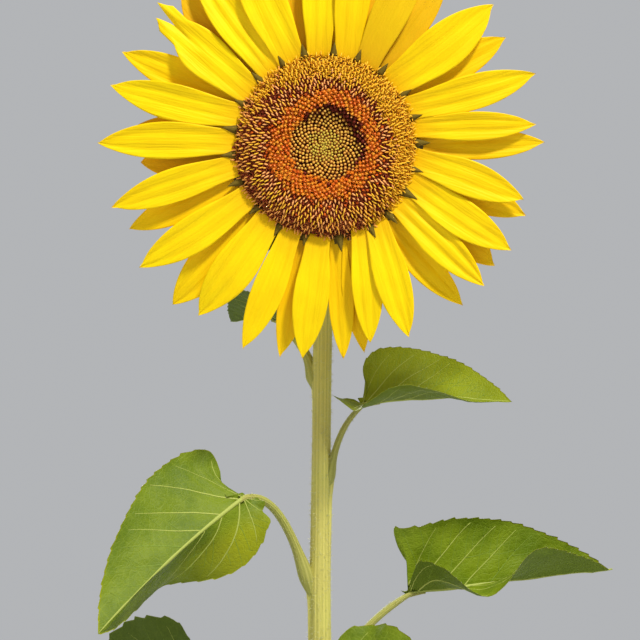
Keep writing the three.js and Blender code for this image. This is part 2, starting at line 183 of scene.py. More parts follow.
@dataclass
class Surface:
    """Points and faces of one mesh, with the numbers that its finish reads.

    marks and tones hold three numbers for each point. What they mean is told by the class
    that makes the surface.
    """

    points: Array
    quads: Array = field(default_factory=lambda: np.zeros((0, 4), int))
    tris: Array = field(default_factory=lambda: np.zeros((0, 3), int))
    marks: Array | None = None
    tones: Array | None = None

    def filled(self, values: Array | None) -> Array:
        """Three numbers for each point, which are zeros where none are given."""
        return np.zeros((len(self.points), 3)) if values is None else values

    def volume(self) -> float:
        """The volume shut in, which is negative where the faces look inwards."""
        p = self.points
        first = np.concatenate([self.quads[:, [0, 1, 2]], self.quads[:, [0, 2, 3]], self.tris])
        a, b, c = p[first[:, 0]], p[first[:, 1]], p[first[:, 2]]
        return float(np.einsum("ij,ij->i", a, np.cross(b, c)).sum() / 6.0)

    def outward(self) -> "Surface":
        """This surface with its faces looking out."""
        if self.volume() < 0:
            self.quads = self.quads[:, ::-1]
            self.tris = self.tris[:, ::-1]
        return self

    @staticmethod
    def joined(parts: Sequence["Surface"]) -> "Surface":
        """Several surfaces as one, with none of them changed."""
        starts = np.cumsum([0, *(len(p.points) for p in parts)])
        return Surface(
            np.concatenate([p.points for p in parts]),
            np.concatenate([p.quads + s for p, s in zip(parts, starts)]),
            np.concatenate([p.tris + s for p, s in zip(parts, starts)]),
            np.concatenate([p.filled(p.marks) for p in parts]),
            np.concatenate([p.filled(p.tones) for p in parts]),
        )


def lattice(rows: int, columns: int, closed: bool) -> Array:
    """The quads of a grid whose points are stored row by row.

    Args:
        rows: How many rows of points.
        columns: How many points in a row.
        closed: Whether each row joins up with its own start.

    Returns:
        Rows of four point numbers.
    """
    row = np.arange(rows - 1)[:, None] * columns
    column = np.arange(columns if closed else columns - 1)[None, :]
    after = (column + 1) % columns
    below = row + columns
    return together(row + column, row + after, below + after, below + column).reshape(-1, 4)


def capped_tube(rings: Array, marks: Array | None = None) -> Surface:
    """A closed skin over a run of rings.

    Args:
        rings: Points as rings by sides by three.
        marks: The same shape of marks, or None.

    Returns:
        The skin, with a flat fan at each end.
    """
    count, sides = rings.shape[:2]
    ends = np.stack([rings[0].mean(0), rings[-1].mean(0)])
    points = np.concatenate([rings.reshape(-1, 3), ends])
    side = np.arange(sides)
    after = (side + 1) % sides
    last = (count - 1) * sides
    foot = together(count * sides, after, side)
    head = together(count * sides + 1, last + side, last + after)
    held = None
    if marks is not None:
        held = np.concatenate([marks.reshape(-1, 3), marks[0].mean(0)[None], marks[-1].mean(0)[None]])
    return Surface(points, lattice(count, sides, True), np.concatenate([foot, head]), held).outward()


def thin_slab(upper: Array, lower: Array, marks: Array, under_mark: int = 2) -> Surface:
    """A closed thin slab between two grids of points.

    Args:
        upper: Points of the upper side, as rows by columns by three.
        lower: Points of the lower side, in the same order.
        marks: Marks of the upper side; the lower side gets the same with one changed.
        under_mark: Which mark is set to one on the lower side.

    Returns:
        The slab.
    """
    rows, columns = upper.shape[:2]
    face = lattice(rows, columns, False)
    count = rows * columns
    index = np.arange(count).reshape(rows, columns)
    rim = np.concatenate([index[0, :-1], index[:-1, -1], index[-1, :0:-1], index[:0:-1, 0]])
    after = np.roll(rim, -1)
    wall = together(rim, rim + count, after + count, after)
    beneath = marks.reshape(-1, 3).copy()
    beneath[:, under_mark] = 1.0
    return Surface(
        np.concatenate([upper.reshape(-1, 3), lower.reshape(-1, 3)]),
        np.concatenate([face, face[:, ::-1] + count, wall]),
        marks=np.concatenate([marks.reshape(-1, 3), beneath]),
    ).outward()


def turned_solid(profile: Sequence[tuple[float, float]], sides: int, lobing: float = 0.0) -> Surface:
    """A closed solid turned about +Z.

    Args:
        profile: Pairs of radius and height from one end to the other.
        sides: How many sides it has.
        lobing: How deep five lobes are cut, as a share of the radius.

    Returns:
        The solid.
    """
    angles = turns(sides)
    size, height = np.array(profile, float).T[..., None]
    radius = np.maximum(size, NEEDLE) * (1.0 - lobing * 0.5 * (1.0 - np.cos(5.0 * angles)))
    return capped_tube(together(radius * np.cos(angles), radius * np.sin(angles), height))


def scattered(template: Surface, places: Array, frames: Array, sizes: Array) -> Surface:
    """Many copies of one small surface, joined.

    Args:
        template: The surface to copy, about its own origin.
        places: Where each copy stands.
        frames: The three axes of each copy, as rows of x, y and z axes.
        sizes: How large each copy is along its own axes.

    Returns:
        One surface.
    """
    count, each = len(places), len(template.points)
    scaled = template.points[None, :, :] * sizes[:, None, :]
    points = np.einsum("nkj,nji->nki", scaled, frames) + places[:, None, :]
    step = (np.arange(count) * each)[:, None, None]
    return Surface(
        points.reshape(-1, 3),
        (template.quads[None] + step).reshape(-1, 4),
        (template.tris[None] + step).reshape(-1, 3),
    )


def frames_about(axes: Array, spins: Array, towards: Array | None = None) -> Array:
    """Sets of axes whose third one is given.

    Args:
        axes: The third axis of each set.
        spins: How far each set is turned about it, in radians.
        towards: Where each first axis points before that turn; any way if None.

    Returns:
        Sets of three rows: x, y and z axes.
    """
    z = unit(axes)
    guide = np.where(np.abs(z[:, 2:3]) > 0.9, [X_AXIS], [Z_AXIS])
    x = unit(np.cross(guide, z) if towards is None else towards - z * (towards * z).sum(-1, keepdims=True))
    y = np.cross(z, x)
    c, s = np.cos(spins)[:, None], np.sin(spins)[:, None]
    return np.stack([x * c + y * s, y * c - x * s, z], axis=1)


def set_out(name: str, data: bpy.types.ID) -> bpy.types.Object:
    """A new object in the scene that holds a mesh, a lamp or a camera."""
    made = bpy.data.objects.new(name, data)
    bpy.context.scene.collection.objects.link(made)
    return made


def make_piece(name: str, surface: Surface, material: Material, node: str) -> None:
    """Builds a mesh, dresses it and puts it in place of a CAD node.

    Args:
        name: The piece's name, in plain words.
        surface: Its points and faces, in millimetres.
        material: Its finish.
        node: The CAD node it stands for.
    """
    name = name.lower().replace(" ", "_")
    mesh = bpy.data.meshes.new(name)
    corners = np.concatenate([surface.quads.ravel(), surface.tris.ravel()]).astype(np.int32)
    quads, tris = len(surface.quads), len(surface.tris)
    starts = np.concatenate([np.arange(quads) * 4, quads * 4 + np.arange(tris) * 3])
    mesh.vertices.add(len(surface.points))
    mesh.vertices.foreach_set("co", (surface.points * METRES).astype(np.float32).ravel())
    mesh.loops.add(len(corners))
    mesh.loops.foreach_set("vertex_index", corners)
    mesh.polygons.add(quads + tris)
    mesh.polygons.foreach_set("loop_start", starts.astype(np.int32))
    for label, values in (("marks", surface.marks), ("tones", surface.tones)):
        if values is not None:
            layer = mesh.attributes.new(label, "FLOAT_VECTOR", "POINT")
            layer.data.foreach_set("vector", values.astype(np.float32).ravel())
    mesh.update(calc_edges=True)
    mesh.validate()
    mesh.shade_smooth()
    mesh.materials.append(material)
    piece = set_out(name, mesh)
    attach(piece, "root")
    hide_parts(node)
    LOG.info("%s: %d faces", name, quads + tris)


# ---- finishes


def paint(red: int, green: int, blue: int) -> Colour:
    """A colour as a shader takes it.

    Args:
        red: From 0 to 255, as a screen shows it.
        green: The same.
        blue: The same.

    Returns:
        The colour in linear light, with full alpha.
    """
    shown = [value / 255.0 for value in (red, green, blue)]
    return (*(v / 12.92 if v <= 0.04045 else ((v + 0.055) / 1.055) ** 2.4 for v in shown), 1.0)


class Bench:
    """Places nodes in one node tree and links them."""

    def __init__(self, tree: NodeTree) -> None:
        """Clears a tree and works on it."""
        self.tree = tree
        tree.nodes.clear()

    def feed(self, target: Socket, value: object) -> None:
        """Links a socket, or sets it.

        Args:
            target: The input socket.
            value: An output socket, a number or a colour.
        """
        if isinstance(value, Socket):
            self.tree.links.new(value, target)
        else:
            target.default_value = value

    def node(self, kind: str, given: dict[str | int, object] | None = None, **settings: object) -> Node:
        """Adds a node.

        Args:
            kind: Its type.
            given: What its inputs take, by name or by place.
            settings: Its own settings.

        Returns:
            The node.
        """
        made = self.tree.nodes.new(kind)
        for name, value in settings.items():
            setattr(made, name, value)
        for name, value in (given or {}).items():
            self.feed(made.inputs[name], value)
        return made

    def maths(self, operation: str, *values: object) -> Socket:
        """One sum of sockets and numbers, by the Math node's operation."""
        return self.node("ShaderNodeMath", dict(enumerate(values)), operation=operation).outputs[0]

    def blend(self, share: object, first: object, second: object) -> Socket:
        """Two colours blended, with a share of the second."""
        given = {0: share, 6: first, 7: second}
        return self.node("ShaderNodeMix", given, data_type="RGBA", clamp_factor=True).outputs[2]

    def tint(self, body: object, mask: object, share: float, colour: Colour) -> Socket:
        """A colour laid over another where a mask is, no thicker than a share."""
        return self.blend(self.maths("MULTIPLY", mask, share), body, colour)

    def fade(self, value: object, low: float, high: float) -> Socket:
        """A smooth step of a value, from nothing at low to one at high."""
        given = {0: value, 1: low, 2: high}
        return self.node("ShaderNodeMapRange", given, interpolation_type="SMOOTHSTEP").outputs[0]

    def ebb(self, value: object, low: float, high: float) -> Socket:
        """A smooth step down, from one at low to nothing at high."""
        return self.maths("SUBTRACT", 1.0, self.fade(value, low, high))

    def marks(self, name: str) -> list[Socket]:
        """The three numbers of a point attribute."""
        read = self.node("ShaderNodeAttribute", attribute_type="GEOMETRY", attribute_name=name)
        return list(self.node("ShaderNodeSeparateXYZ", {0: read.outputs["Vector"]}).outputs)

    def noise(self, vector: object, scale: object, detail: float) -> Socket:
        """Soft noise around one half."""
        given = {"Vector": vector, "Scale": scale, "Detail": detail}
        return self.node("ShaderNodeTexNoise", given).outputs["Fac"]

    def net(self, vector: object, scale: float, width: float) -> Socket:
        """The lines between cells that fill a surface.

        Args:
            vector: Where it is read.
            scale: How fine it is.
            width: How far from its middle a line has faded out.

        Returns:
            One on a line and nothing off it.
        """
        given = {"Vector": vector, "Scale": scale}
        cells = self.node("ShaderNodeTexVoronoi", given, feature="DISTANCE_TO_EDGE")
        return self.ebb(cells.outputs["Distance"], 0.0, width)

    def group(self, tree: NodeTree, **values: object) -> Sequence[Socket]:
        """Places a shared effect, with its inputs by name and _ for a space, and gives its outputs."""
        given = {name.replace("_", " "): value for name, value in values.items()}
        return self.node("ShaderNodeGroup", given, node_tree=tree).outputs


class Effects:
    """The effects that more than one finish uses, each built once as a node group."""

    def __init__(self) -> None:
        """Builds the groups."""
        self.mottle = self._mottle()
        self.grooves = self._grooves()

    @staticmethod
    def _start(name: str, inputs: dict[str, float], outputs: list[str]) -> tuple[Bench, list[Socket], Node]:
        """Starts a group.

        Args:
            name: Its name.
            inputs: Its inputs and their usual values.
            outputs: Its outputs, all of them plain numbers.

        Returns:
            The bench to build it on, what comes in, and its output node.
        """
        tree = bpy.data.node_groups.new(name, "ShaderNodeTree")
        bench = Bench(tree)
        for label, usual in inputs.items():
            made = tree.interface.new_socket(label, in_out="INPUT", socket_type="NodeSocketFloat")
            made.default_value = usual
        for label in outputs:
            tree.interface.new_socket(label, in_out="OUTPUT", socket_type="NodeSocketFloat")
        given = list(bench.node("NodeGroupInput").outputs)[: len(inputs)]
        return bench, given, bench.node("NodeGroupOutput")

    def _mottle(self, patch: Sequence[float] = (0.3, 0.7), speck: Sequence[float] = (0.12, 0.3)) -> NodeTree:
        """Living tissue's patches and its fine grain.

        Args:
            patch: Where in the noise a patch begins, and where it is full.
            speck: How far from its middle a speck begins to fade, and where it ends.

        Returns:
            The group: Patch Scale and Grain Scale in, Patches, Grain and Specks out.
        """
        usual = {"Patch Scale": 30.0, "Grain Scale": 400.0}
        outputs = ["Patches", "Grain", "Specks"]
        bench, (patch_scale, grain_scale), out = self._start("Living mottle", usual, outputs)
        where = bench.node("ShaderNodeTexCoord").outputs["Object"]
        specks = bench.node("ShaderNodeTexVoronoi", {"Vector": where, "Scale": grain_scale})
        bench.feed(out.inputs[0], bench.fade(bench.noise(where, patch_scale, 4.0), *patch))
        bench.feed(out.inputs[1], bench.noise(where, grain_scale, 2.0))
        bench.feed(out.inputs[2], bench.ebb(specks.outputs["Distance"], *speck))
        return bench.tree

    def _grooves(self, stretch: Sequence[float] = (4.0, 2.0), drift_scale: float = 1.5) -> NodeTree:
        """Fine lines side by side, which wander a little.

        Args:
            stretch: How fast the lines drift across and along, beside each other.
            drift_scale: How fine that drift is.

        Returns:
            The group: Across, Along, Count and Wander in, Lines out.
        """
        usual = {"Across": 0.0, "Along": 0.0, "Count": 10.0, "Wander": 0.3}
        bench, (across, along, count, wander), out = self._start("Fine grooves", usual, ["Lines"])
        ways = [bench.maths("MULTIPLY", way, more) for way, more in zip((across, along), stretch)]
        place = bench.node("ShaderNodeCombineXYZ", dict(enumerate(ways))).outputs[0]
        drift = bench.maths("MULTIPLY", bench.noise(place, drift_scale, 2.0), wander)
        phase = bench.maths("MULTIPLY", bench.maths("ADD", across, drift), count)
        wave = bench.maths("SINE", bench.maths("MULTIPLY", phase, math.tau))
        bench.feed(out.inputs[0], bench.maths("MULTIPLY_ADD", wave, 0.5, 0.5))
        return bench.tree


def new_material(name: str, roughness: float, gloss: float) -> tuple[Material, Bench, Node]:
    """Starts a material with a Principled shader.

    Args:
        name: The material's name.
        roughness: The shader's roughness.
        gloss: Its specular level.

    Returns:
        The material, the bench for its nodes and the shader node.
    """
    material = bpy.data.materials.new(name)
    material.use_nodes = True
    bench = Bench(material.node_tree)
    shader = bench.node("ShaderNodeBsdfPrincipled", {"Roughness": roughness, "Specular IOR Level": gloss})
    bench.node("ShaderNodeOutputMaterial", {"Surface": shader.outputs["BSDF"]})
    return material, bench, shader


def dress(bench: Bench, shader: Node, body: Socket, relief: Socket, depth: float) -> None:
    """Gives a shader its colour and its fine relief.

    Args:
        bench: The material's bench.
        shader: Its shader.
        body: The colour.
        relief: The relief, from 0 to 1.
        depth: How deep the relief is, in metres.
    """
    bench.feed(shader.inputs["Base Color"], body)
    bump = bench.node("ShaderNodeBump", {"Strength": 1.0, "Distance": depth, "Height": relief})
    bench.feed(shader.inputs["Normal"], bump.outputs["Normal"])


@dataclass(frozen=True)
class StalkFinish:
    """Ribbed green stalk: marks hold the turn round it, the way along it and its ribs."""

    name: str
    crest: Colour
    furrow: Colour
    blush: Colour
    blush_share: float = 0.25
    line_share: float = 0.14
    speck_share: float = 0.3
    roughness: float = 0.62
    gloss: float = 0.35
    patch_scale: float = 28.0
    grain_scale: float = 900.0
    lines: float = 46.0
    wander: float = 0.05
    line_depth: float = 0.5
    depth: float = 0.00025

    def build(self, effects: Effects) -> Material:
        """The material.

        Args:
            effects: The shared node groups.

        Returns:
            The finished material.
        """
        material, bench, shader = new_material(self.name, self.roughness, self.gloss)
        turn, along, crest = bench.marks("marks")
        mottle = bench.group(effects.mottle, Patch_Scale=self.patch_scale, Grain_Scale=self.grain_scale)
        grooves = {"Across": turn, "Along": along, "Count": self.lines, "Wander": self.wander}
        lines = bench.group(effects.grooves, **grooves)[0]
        # The furrows' colour is partly the stalk's own greener tone and partly painted shade in the grooves
        # between the ribs.
        body = bench.blend(crest, self.furrow, self.crest)
        body = bench.tint(body, lines, self.line_share, self.furrow)
        body = bench.tint(body, mottle["Patches"], self.blush_share, self.blush)
        body = bench.tint(body, mottle["Specks"], self.speck_share, self.crest)
        relief = bench.maths("ADD", bench.maths("MULTIPLY", lines, self.line_depth), mottle["Grain"])
        dress(bench, shader, body, relief, self.depth)
        return material


@dataclass(frozen=True)
class LeafFinish:
    """Leaf tissue: marks hold the way along, the way across and the underside, and tones the
    yellow tint, partly painted light shining through the blade, the dust, and the ageing, partly
    painted shade on leaves that lie in shadow. Shares say how far each colour covers the one below,
    and a net holds its scale, the width of its lines, their share and their depth."""

    upper: Colour = paint(124, 142, 16)
    deep: Colour = paint(98, 120, 12)
    under: Colour = paint(92, 110, 28)
    yellow: Colour = paint(158, 160, 10)
    dust: Colour = paint(190, 190, 110)
    # a darker, older green, which is also painted shade on leaves that lie in shadow
    old_and_shaded: Colour = paint(34, 52, 22)
    net: Colour = paint(156, 168, 56)
    old_and_shaded_share: float = 0.85
    under_share: float = 0.75
    nets: tuple[tuple[float, ...], ...] = ((42.0, 0.13, 0.12, 0.3), (13.0, 0.05, 0.1, 0.2))
    patch_scale: float = 38.0
    grain_scale: float = 1100.0
    roughness: float = 0.52
    under_rougher: float = 0.2
    gloss: float = 0.2
    depth: float = 0.0003

    def build(self, effects: Effects) -> Material:
        """The material.

        Args:
            effects: The shared node groups.

        Returns:
            The finished material.
        """
        material, bench, shader = new_material("Leaf blade", self.roughness, self.gloss)
        along, across, under = bench.marks("marks")
        yellow_and_painted_light, dusting, age = bench.marks("tones")
        mottle = bench.group(effects.mottle, Patch_Scale=self.patch_scale, Grain_Scale=self.grain_scale)
        place = bench.node("ShaderNodeCombineXYZ", {0: along, 1: across}).outputs[0]
        body = bench.blend(mottle["Patches"], self.deep, self.upper)
        # Darker with ageing on the lower leaves, and painted shade on the upper leaves that lie in shadow.
        body = bench.tint(body, age, self.old_and_shaded_share, self.old_and_shaded)
        # yellow_and_painted_light: the lower leaves' own yellow tint, and on the upper leaves painted light
        # that shines through the blade
        body = bench.blend(yellow_and_painted_light, body, self.yellow)
        relief = mottle["Grain"]
        for scale, width, share, depth in self.nets:
            lines = bench.net(place, scale, width)
            body = bench.tint(body, lines, share, self.net)
            relief = bench.maths("SUBTRACT", relief, bench.maths("MULTIPLY", lines, depth))
        body = bench.blend(bench.maths("MULTIPLY", dusting, mottle["Specks"]), body, self.dust)
        body = bench.tint(body, under, self.under_share, self.under)
        rough = bench.maths("MULTIPLY_ADD", under, self.under_rougher, self.roughness)
        bench.feed(shader.inputs["Roughness"], rough)
        dress(bench, shader, body, relief, self.depth)
        return material


@dataclass(frozen=True)
class RayFinish:
    """Yellow ray: marks hold the way along, the way across and the underside, and tones the
    brownish painted shadow, the brown stain and the painted shade of each ray."""

    lit: Colour = paint(252, 218, 0)
    deep: Colour = paint(240, 184, 0)
    root: Colour = paint(222, 140, 10)
    # painted shadow: the dull brownish yellow of rays that lie in other rays' shadows
    painted_shadow: Colour = paint(206, 150, 14)
    stain: Colour = paint(120, 74, 24)
    under: Colour = paint(228, 184, 24)
    patch_share: float = 0.3
    line_share: float = 0.12
    root_share: float = 0.4
    root_end: float = 0.32
    # shade is painted shade: how far a ray's yellow is deepened where other rays shadow it
    shade_share: float = 0.8
    under_share: float = 0.6
    patch_scale: float = 45.0
    grain_scale: float = 700.0
    lines: float = 4.0
    wander: float = 0.45
    roughness: float = 0.55
    gloss: float = 0.12
    grain_depth: float = 0.4
    depth: float = 0.0001

    def build(self, effects: Effects) -> Material:
        """The material.

        Args:
            effects: The shared node groups.

        Returns:
            The finished material.
        """
        material, bench, shader = new_material("Ray", self.roughness, self.gloss)
        along, across, under = bench.marks("marks")
        painted_shadow, stained, shade = bench.marks("tones")
        mottle = bench.group(effects.mottle, Patch_Scale=self.patch_scale, Grain_Scale=self.grain_scale)
        grooves = {"Across": across, "Along": along, "Count": self.lines, "Wander": self.wander}
        lines = bench.group(effects.grooves, **grooves)[0]
        body = bench.tint(self.lit, mottle["Patches"], self.patch_share, self.deep)
        body = bench.tint(body, lines, self.line_share, self.deep)
        body = bench.tint(body, bench.ebb(along, 0.0, self.root_end), self.root_share, self.root)
        # Painted shade and painted shadow: rays that lie in other rays' shadows are darkened and browned.
        body = bench.tint(body, shade, self.shade_share, self.deep)
        body = bench.blend(painted_shadow, body, self.painted_shadow)
        body = bench.blend(bench.maths("MULTIPLY", stained, mottle["Specks"]), body, self.stain)
        body = bench.tint(body, under, self.under_share, self.under)
        relief = bench.maths("ADD", lines, bench.maths("MULTIPLY", mottle["Grain"], self.grain_depth))
        dress(bench, shader, body, relief, self.depth)
        return material


@dataclass(frozen=True)
class TissueFinish:
    """Green tissue of bracts and receptacle: marks hold the way along, across and the underside."""

    name: str
    light: Colour
    dark: Colour
    tip: Colour
    tip_from: float = 0.5
    tip_share: float = 0.35
    line_share: float = 0.35
    patch_scale: float = 60.0
    grain_scale: float = 900.0
    lines: float = 4.5
    wander: float = 0.1
    roughness: float = 0.65
    gloss: float = 0.3
    depth: float = 0.0003

    def build(self, effects: Effects) -> Material:
        """The material.

        Args:
            effects: The shared node groups.

        Returns:
            The finished material.
        """
        material, bench, shader = new_material(self.name, self.roughness, self.gloss)
        along, across, _ = bench.marks("marks")
        mottle = bench.group(effects.mottle, Patch_Scale=self.patch_scale, Grain_Scale=self.grain_scale)
        grooves = {"Across": across, "Along": along, "Count": self.lines, "Wander": self.wander}
        lines = bench.group(effects.grooves, **grooves)[0]
        body = bench.blend(mottle["Patches"], self.dark, self.light)
        body = bench.tint(body, lines, self.line_share, self.dark)
        body = bench.tint(body, bench.fade(along, self.tip_from, 1.0), self.tip_share, self.tip)
        dress(bench, shader, body, bench.maths("ADD", lines, mottle["Grain"]), self.depth)
        return material


@dataclass(frozen=True)
class PlainFinish:
    """One colour for a kind of small thing dealt out in thousands."""

    name: str
    colour: Colour
    roughness: float = 0.6
    gloss: float = 0.3

    def build(self) -> Material:
        """The material."""
        material, bench, shader = new_material(self.name, self.roughness, self.gloss)
        bench.feed(shader.inputs["Base Color"], self.colour)
        return material


# ---- leaves: what they are


@dataclass(frozen=True)
class Half:
    """How one half of a blade stands off the midrib, in degrees.

    lift is the angle at which it leaves the midrib and curl how far it turns on its way out,
    over one blade's length. Both are given at even steps from the lobe behind the blade's
    base to its tip. fuller widens the basal lobe and cut shortens it behind the base, both
    as shares of its reach. hook draws the lobe's corner back and hollows the edge below it,
    and hollow draws the edge between the lobe and the petiole in towards the tip. late
    carries the lobe further round before that edge and spread rounds its corner, both in
    radians. sweep carries the blade's middle there towards the tip.
    """

    lift: tuple[float, ...]
    curl: tuple[float, ...] = (8,)
    fuller: float = 0.0
    cut: float = 0.0
    hook: float = 0.0
    hollow: float = 0.0
    late: float = 0.0
    spread: float = 0.13
    sweep: float = 0.0


@dataclass(frozen=True)
class LobeRule:
    """Where the parts of every blade's lobes lie.

    Each pair is the angle from the midrib and how far to either side it reaches, in radians.
    fuller is the lobe's swell, corner its point, tuck and brow what a hook draws back and
    forward, hollow the edge behind it and sweep the blade's middle beside it. cut is the
    angle at which the lobe ends, and crease the half-width of the midrib's fold in
    millimetres.
    """

    fuller: tuple[float, float] = (1.5, 0.6)
    corner: tuple[float, float] = (1.58, 0.1)
    cut: float = 1.73
    tuck: tuple[float, float] = (2.15, 0.32)
    tuck_share: float = 1.7
    brow: tuple[float, float] = (1.62, 0.2)
    hollow: tuple[float, float] = (1.88, 0.2)
    sweep: tuple[float, float] = (1.85, 0.45)
    crease: float = 1.2


LOBE = LobeRule()


@dataclass(frozen=True)
class LeafPose:
    """Where one leaf stands and how it is bent; angles in degrees.

    node is the height on the stem and azimuth the way the petiole leaves it. out and rise
    place the blade's base from there. The blade heads along heading, at pitch from the level,
    and its midrib droops on the way. left and right are its halves. stalk scales the
    petiole's girth and swing turns its foot round the stem.
    """

    node: float
    azimuth: float
    out: float
    rise: float
    lean: float
    join: float
    length: float
    breadth: float
    base: float
    heading: float
    pitch: float
    droop: float
    roll: float
    left: Half
    right: Half
    yellow: float = 0.0
    flush: float = 0.0
    dust: float = 0.0
    age: float = 0.0
    jagged: float = 1.0
    shoulder: float = 0.6
    notch_depth: float = 0.97
    notch_power: float = 1.2
    behind: float = -0.3
    point: float = 0.014
    tail: float = 0.0
    stalk: float = 1.0
    swing: float = 0.0

    def of_half(self, name: str, angle: Array) -> Array:
        """One of the halves' numbers, for each angle from the midrib."""
        return np.where(angle < 0, getattr(self.right, name), getattr(self.left, name))

    def margin(self, angle: Array) -> Array:
        """The blade's outline.

        Args:
            angle: From the midrib, in radians, positive on the left.

        Returns:
            The distance of the margin from the base, as a share of the length.
        """
        size = np.abs(angle)
        body = self.breadth + (1.0 - self.breadth) * np.exp(-size / self.shoulder)
        notch = self.notch_depth * np.exp(-(((math.pi - size) / self.base) ** self.notch_power))
        lobe = self.of_half("fuller", angle) * hump(size, *LOBE.fuller)
        lobe = lobe + self.of_half("hook", angle) * self.point * hump(size, *LOBE.corner)
        past = (size - self.of_half("late", angle) - LOBE.cut) / self.of_half("spread", angle)
        cut = self.of_half("cut", angle) * smooth(past, -1.0, 1.0)
        return body * (1.0 - notch) * (1.0 + lobe) * (1.0 - cut)

    def hooked(self, angle: Array) -> Array:
        """How far a point on the margin is moved along the midrib by the hooks of the lobes.

        Args:
            angle: From the midrib, in radians, positive on the left.

        Returns:
            The move of a point at the margin, in millimetres.
        """
        size = np.abs(angle)
        turn = size - self.of_half("late", angle)
        drawn = LOBE.tuck_share * hump(size, *LOBE.tuck) - hump(size, *LOBE.brow)
        return self.of_half("hook", angle) * drawn + self.of_half("hollow", angle) * hump(turn, *LOBE.hollow)

    def swept(self, angle: Array) -> Array:
        """How far the middle of a half is moved along the midrib beside its lobe, in millimetres."""
        return self.of_half("sweep", angle) * hump(np.abs(angle), *LOBE.sweep)

    def per_half(self, name: str, on_right: Array, share: Array) -> Array:
        """One of the halves' runs of angles, in radians, at shares of the way along the midrib."""
        ways = [stationed(getattr(half, name), share, self.behind) for half in (self.left, self.right)]
        return np.radians(np.where(on_right, ways[1], ways[0]))

    def placed(self, forward: Array, leftward: Array, above: Array) -> Array:
        """Carries points of the flat blade to their place in the leaf.

        Args:
            forward: Along the midrib, from the blade's base.
            leftward: Across it.
            above: Off the blade's middle surface.

        Returns:
            Points about the blade's base, with the heading turned in.
        """
        pitch = math.radians(self.pitch)
        run, climb, slope = bent(pitch, -math.radians(self.droop) / self.length, np.maximum(0.0, forward))
        behind = np.minimum(0.0, forward)
        tail = pitch - math.radians(self.tail)
        x = run + behind * math.cos(tail)
        z = climb + behind * math.sin(tail)
        on_right = leftward < 0
        share = forward / self.length
        lift = self.per_half("lift", on_right, share)
        curl = self.per_half("curl", on_right, share) / self.length
        across, up, facing = bent(lift, curl, np.abs(leftward))
        facing = facing * smooth(np.abs(leftward), 0.0, LOBE.crease)
        side = np.where(on_right, -1.0, 1.0)
        sideways = side * (across - above * np.sin(facing))
        up = up + above * np.cos(facing)
        roll = math.radians(self.roll)
        y = sideways * math.cos(roll) - up * math.sin(roll)
        n = sideways * math.sin(roll) + up * math.cos(roll)
        return turned_about_z(together(x - n * np.sin(slope), y, z + n * np.cos(slope)), self.heading)


UPPER_LEAVES = (
    # Leaf 1 stands behind the head and is darkened as painted shade.
    LeafPose(
        node=1168, azimuth=150, out=31, rise=34, lean=0.5, join=30, length=68, breadth=0.42, base=0.8,
        heading=122, pitch=6, droop=14, roll=0, age=1.0, jagged=1.6,
        left=Half((35, 38, 40, 40, 40)), right=Half((35, 38, 40, 40, 40)),
    ),
    # Leaf 2's flush is painted sunlight that yellows the whole blade.
    LeafPose(
        node=1102, azimuth=332, out=30, rise=46, lean=0.6, join=40, length=101, breadth=0.36, base=0.94,
        heading=-15, pitch=9, droop=16, roll=25, flush=0.4, age=0.08, tail=36, stalk=0.68, swing=20,
        left=Half(
            (45, 40, 36, 30, 28, 22, 28, 28, 27), (59,), cut=0.8, hollow=6, late=-0.1, spread=0.4, sweep=5
        ),
        right=Half(
            (2, 8, 14, 26, 38, 36, 18, 14, 10), (0, 10, 30, 40, 60, 60), fuller=-0.3, cut=0.3, hook=-6
        ),
    ),
    # Leaf 3's yellow patch is painted light shining through its lobe.
    LeafPose(
        node=1032, azimuth=220, out=63, rise=58, lean=0.5, join=-8, length=144, breadth=0.31, base=1.12,
        heading=220, pitch=-29, droop=12, roll=-43, yellow=0.8, dust=0.25, age=0.18, stalk=0.93, swing=-28,
        left=Half((20, -20, -75, -101, -93, -80), (240, 215, 110, 0, 0, 0), fuller=-0.38, cut=0.4),
        right=Half(
            (-12, -2, 5, 7, 7), (100,), fuller=0.04, cut=0.75, hollow=15, late=0.2, spread=0.32, sweep=18
        ),
    ),
    LeafPose(
        node=961, azimuth=11, out=59, rise=62, lean=0.5, join=30, length=150, breadth=0.31, base=1.26,
        heading=15, pitch=5, droop=0, roll=4, jagged=1.5, stalk=0.85,
        left=Half((83, 83, 78, 74, 75), (60, 80, 88, 88), fuller=0.03, cut=0.8, hook=9, hollow=14, sweep=12),
        right=Half(
            (80, 80, 74, 3, 0, 40, 54, 40, 60), (0, 0, 0, -20, -20, 0, -10, 0, 0),
            fuller=-0.38, cut=0.85, hook=-3, hollow=12,
        ),
    ),
    LeafPose(
        node=910, azimuth=276, out=65, rise=58, lean=0.5, join=-5, length=142, breadth=0.42, base=0.6,
        heading=298, pitch=-42, droop=28, roll=17, age=0.2, left=Half((28, 28, 28)), right=Half((22, 22, 22)),
    ),
    # Leaf 6 is darkened as painted shade for the shadow it lies in.
    LeafPose(
        node=872, azimuth=162, out=88, rise=81, lean=0.5, join=-5, length=154, breadth=0.42, base=0.6,
        heading=136, pitch=-46, droop=34, roll=34, age=1.1, jagged=2.0,
        left=Half((33, 33, 33)), right=Half((25, 25, 25)),
    ),
)


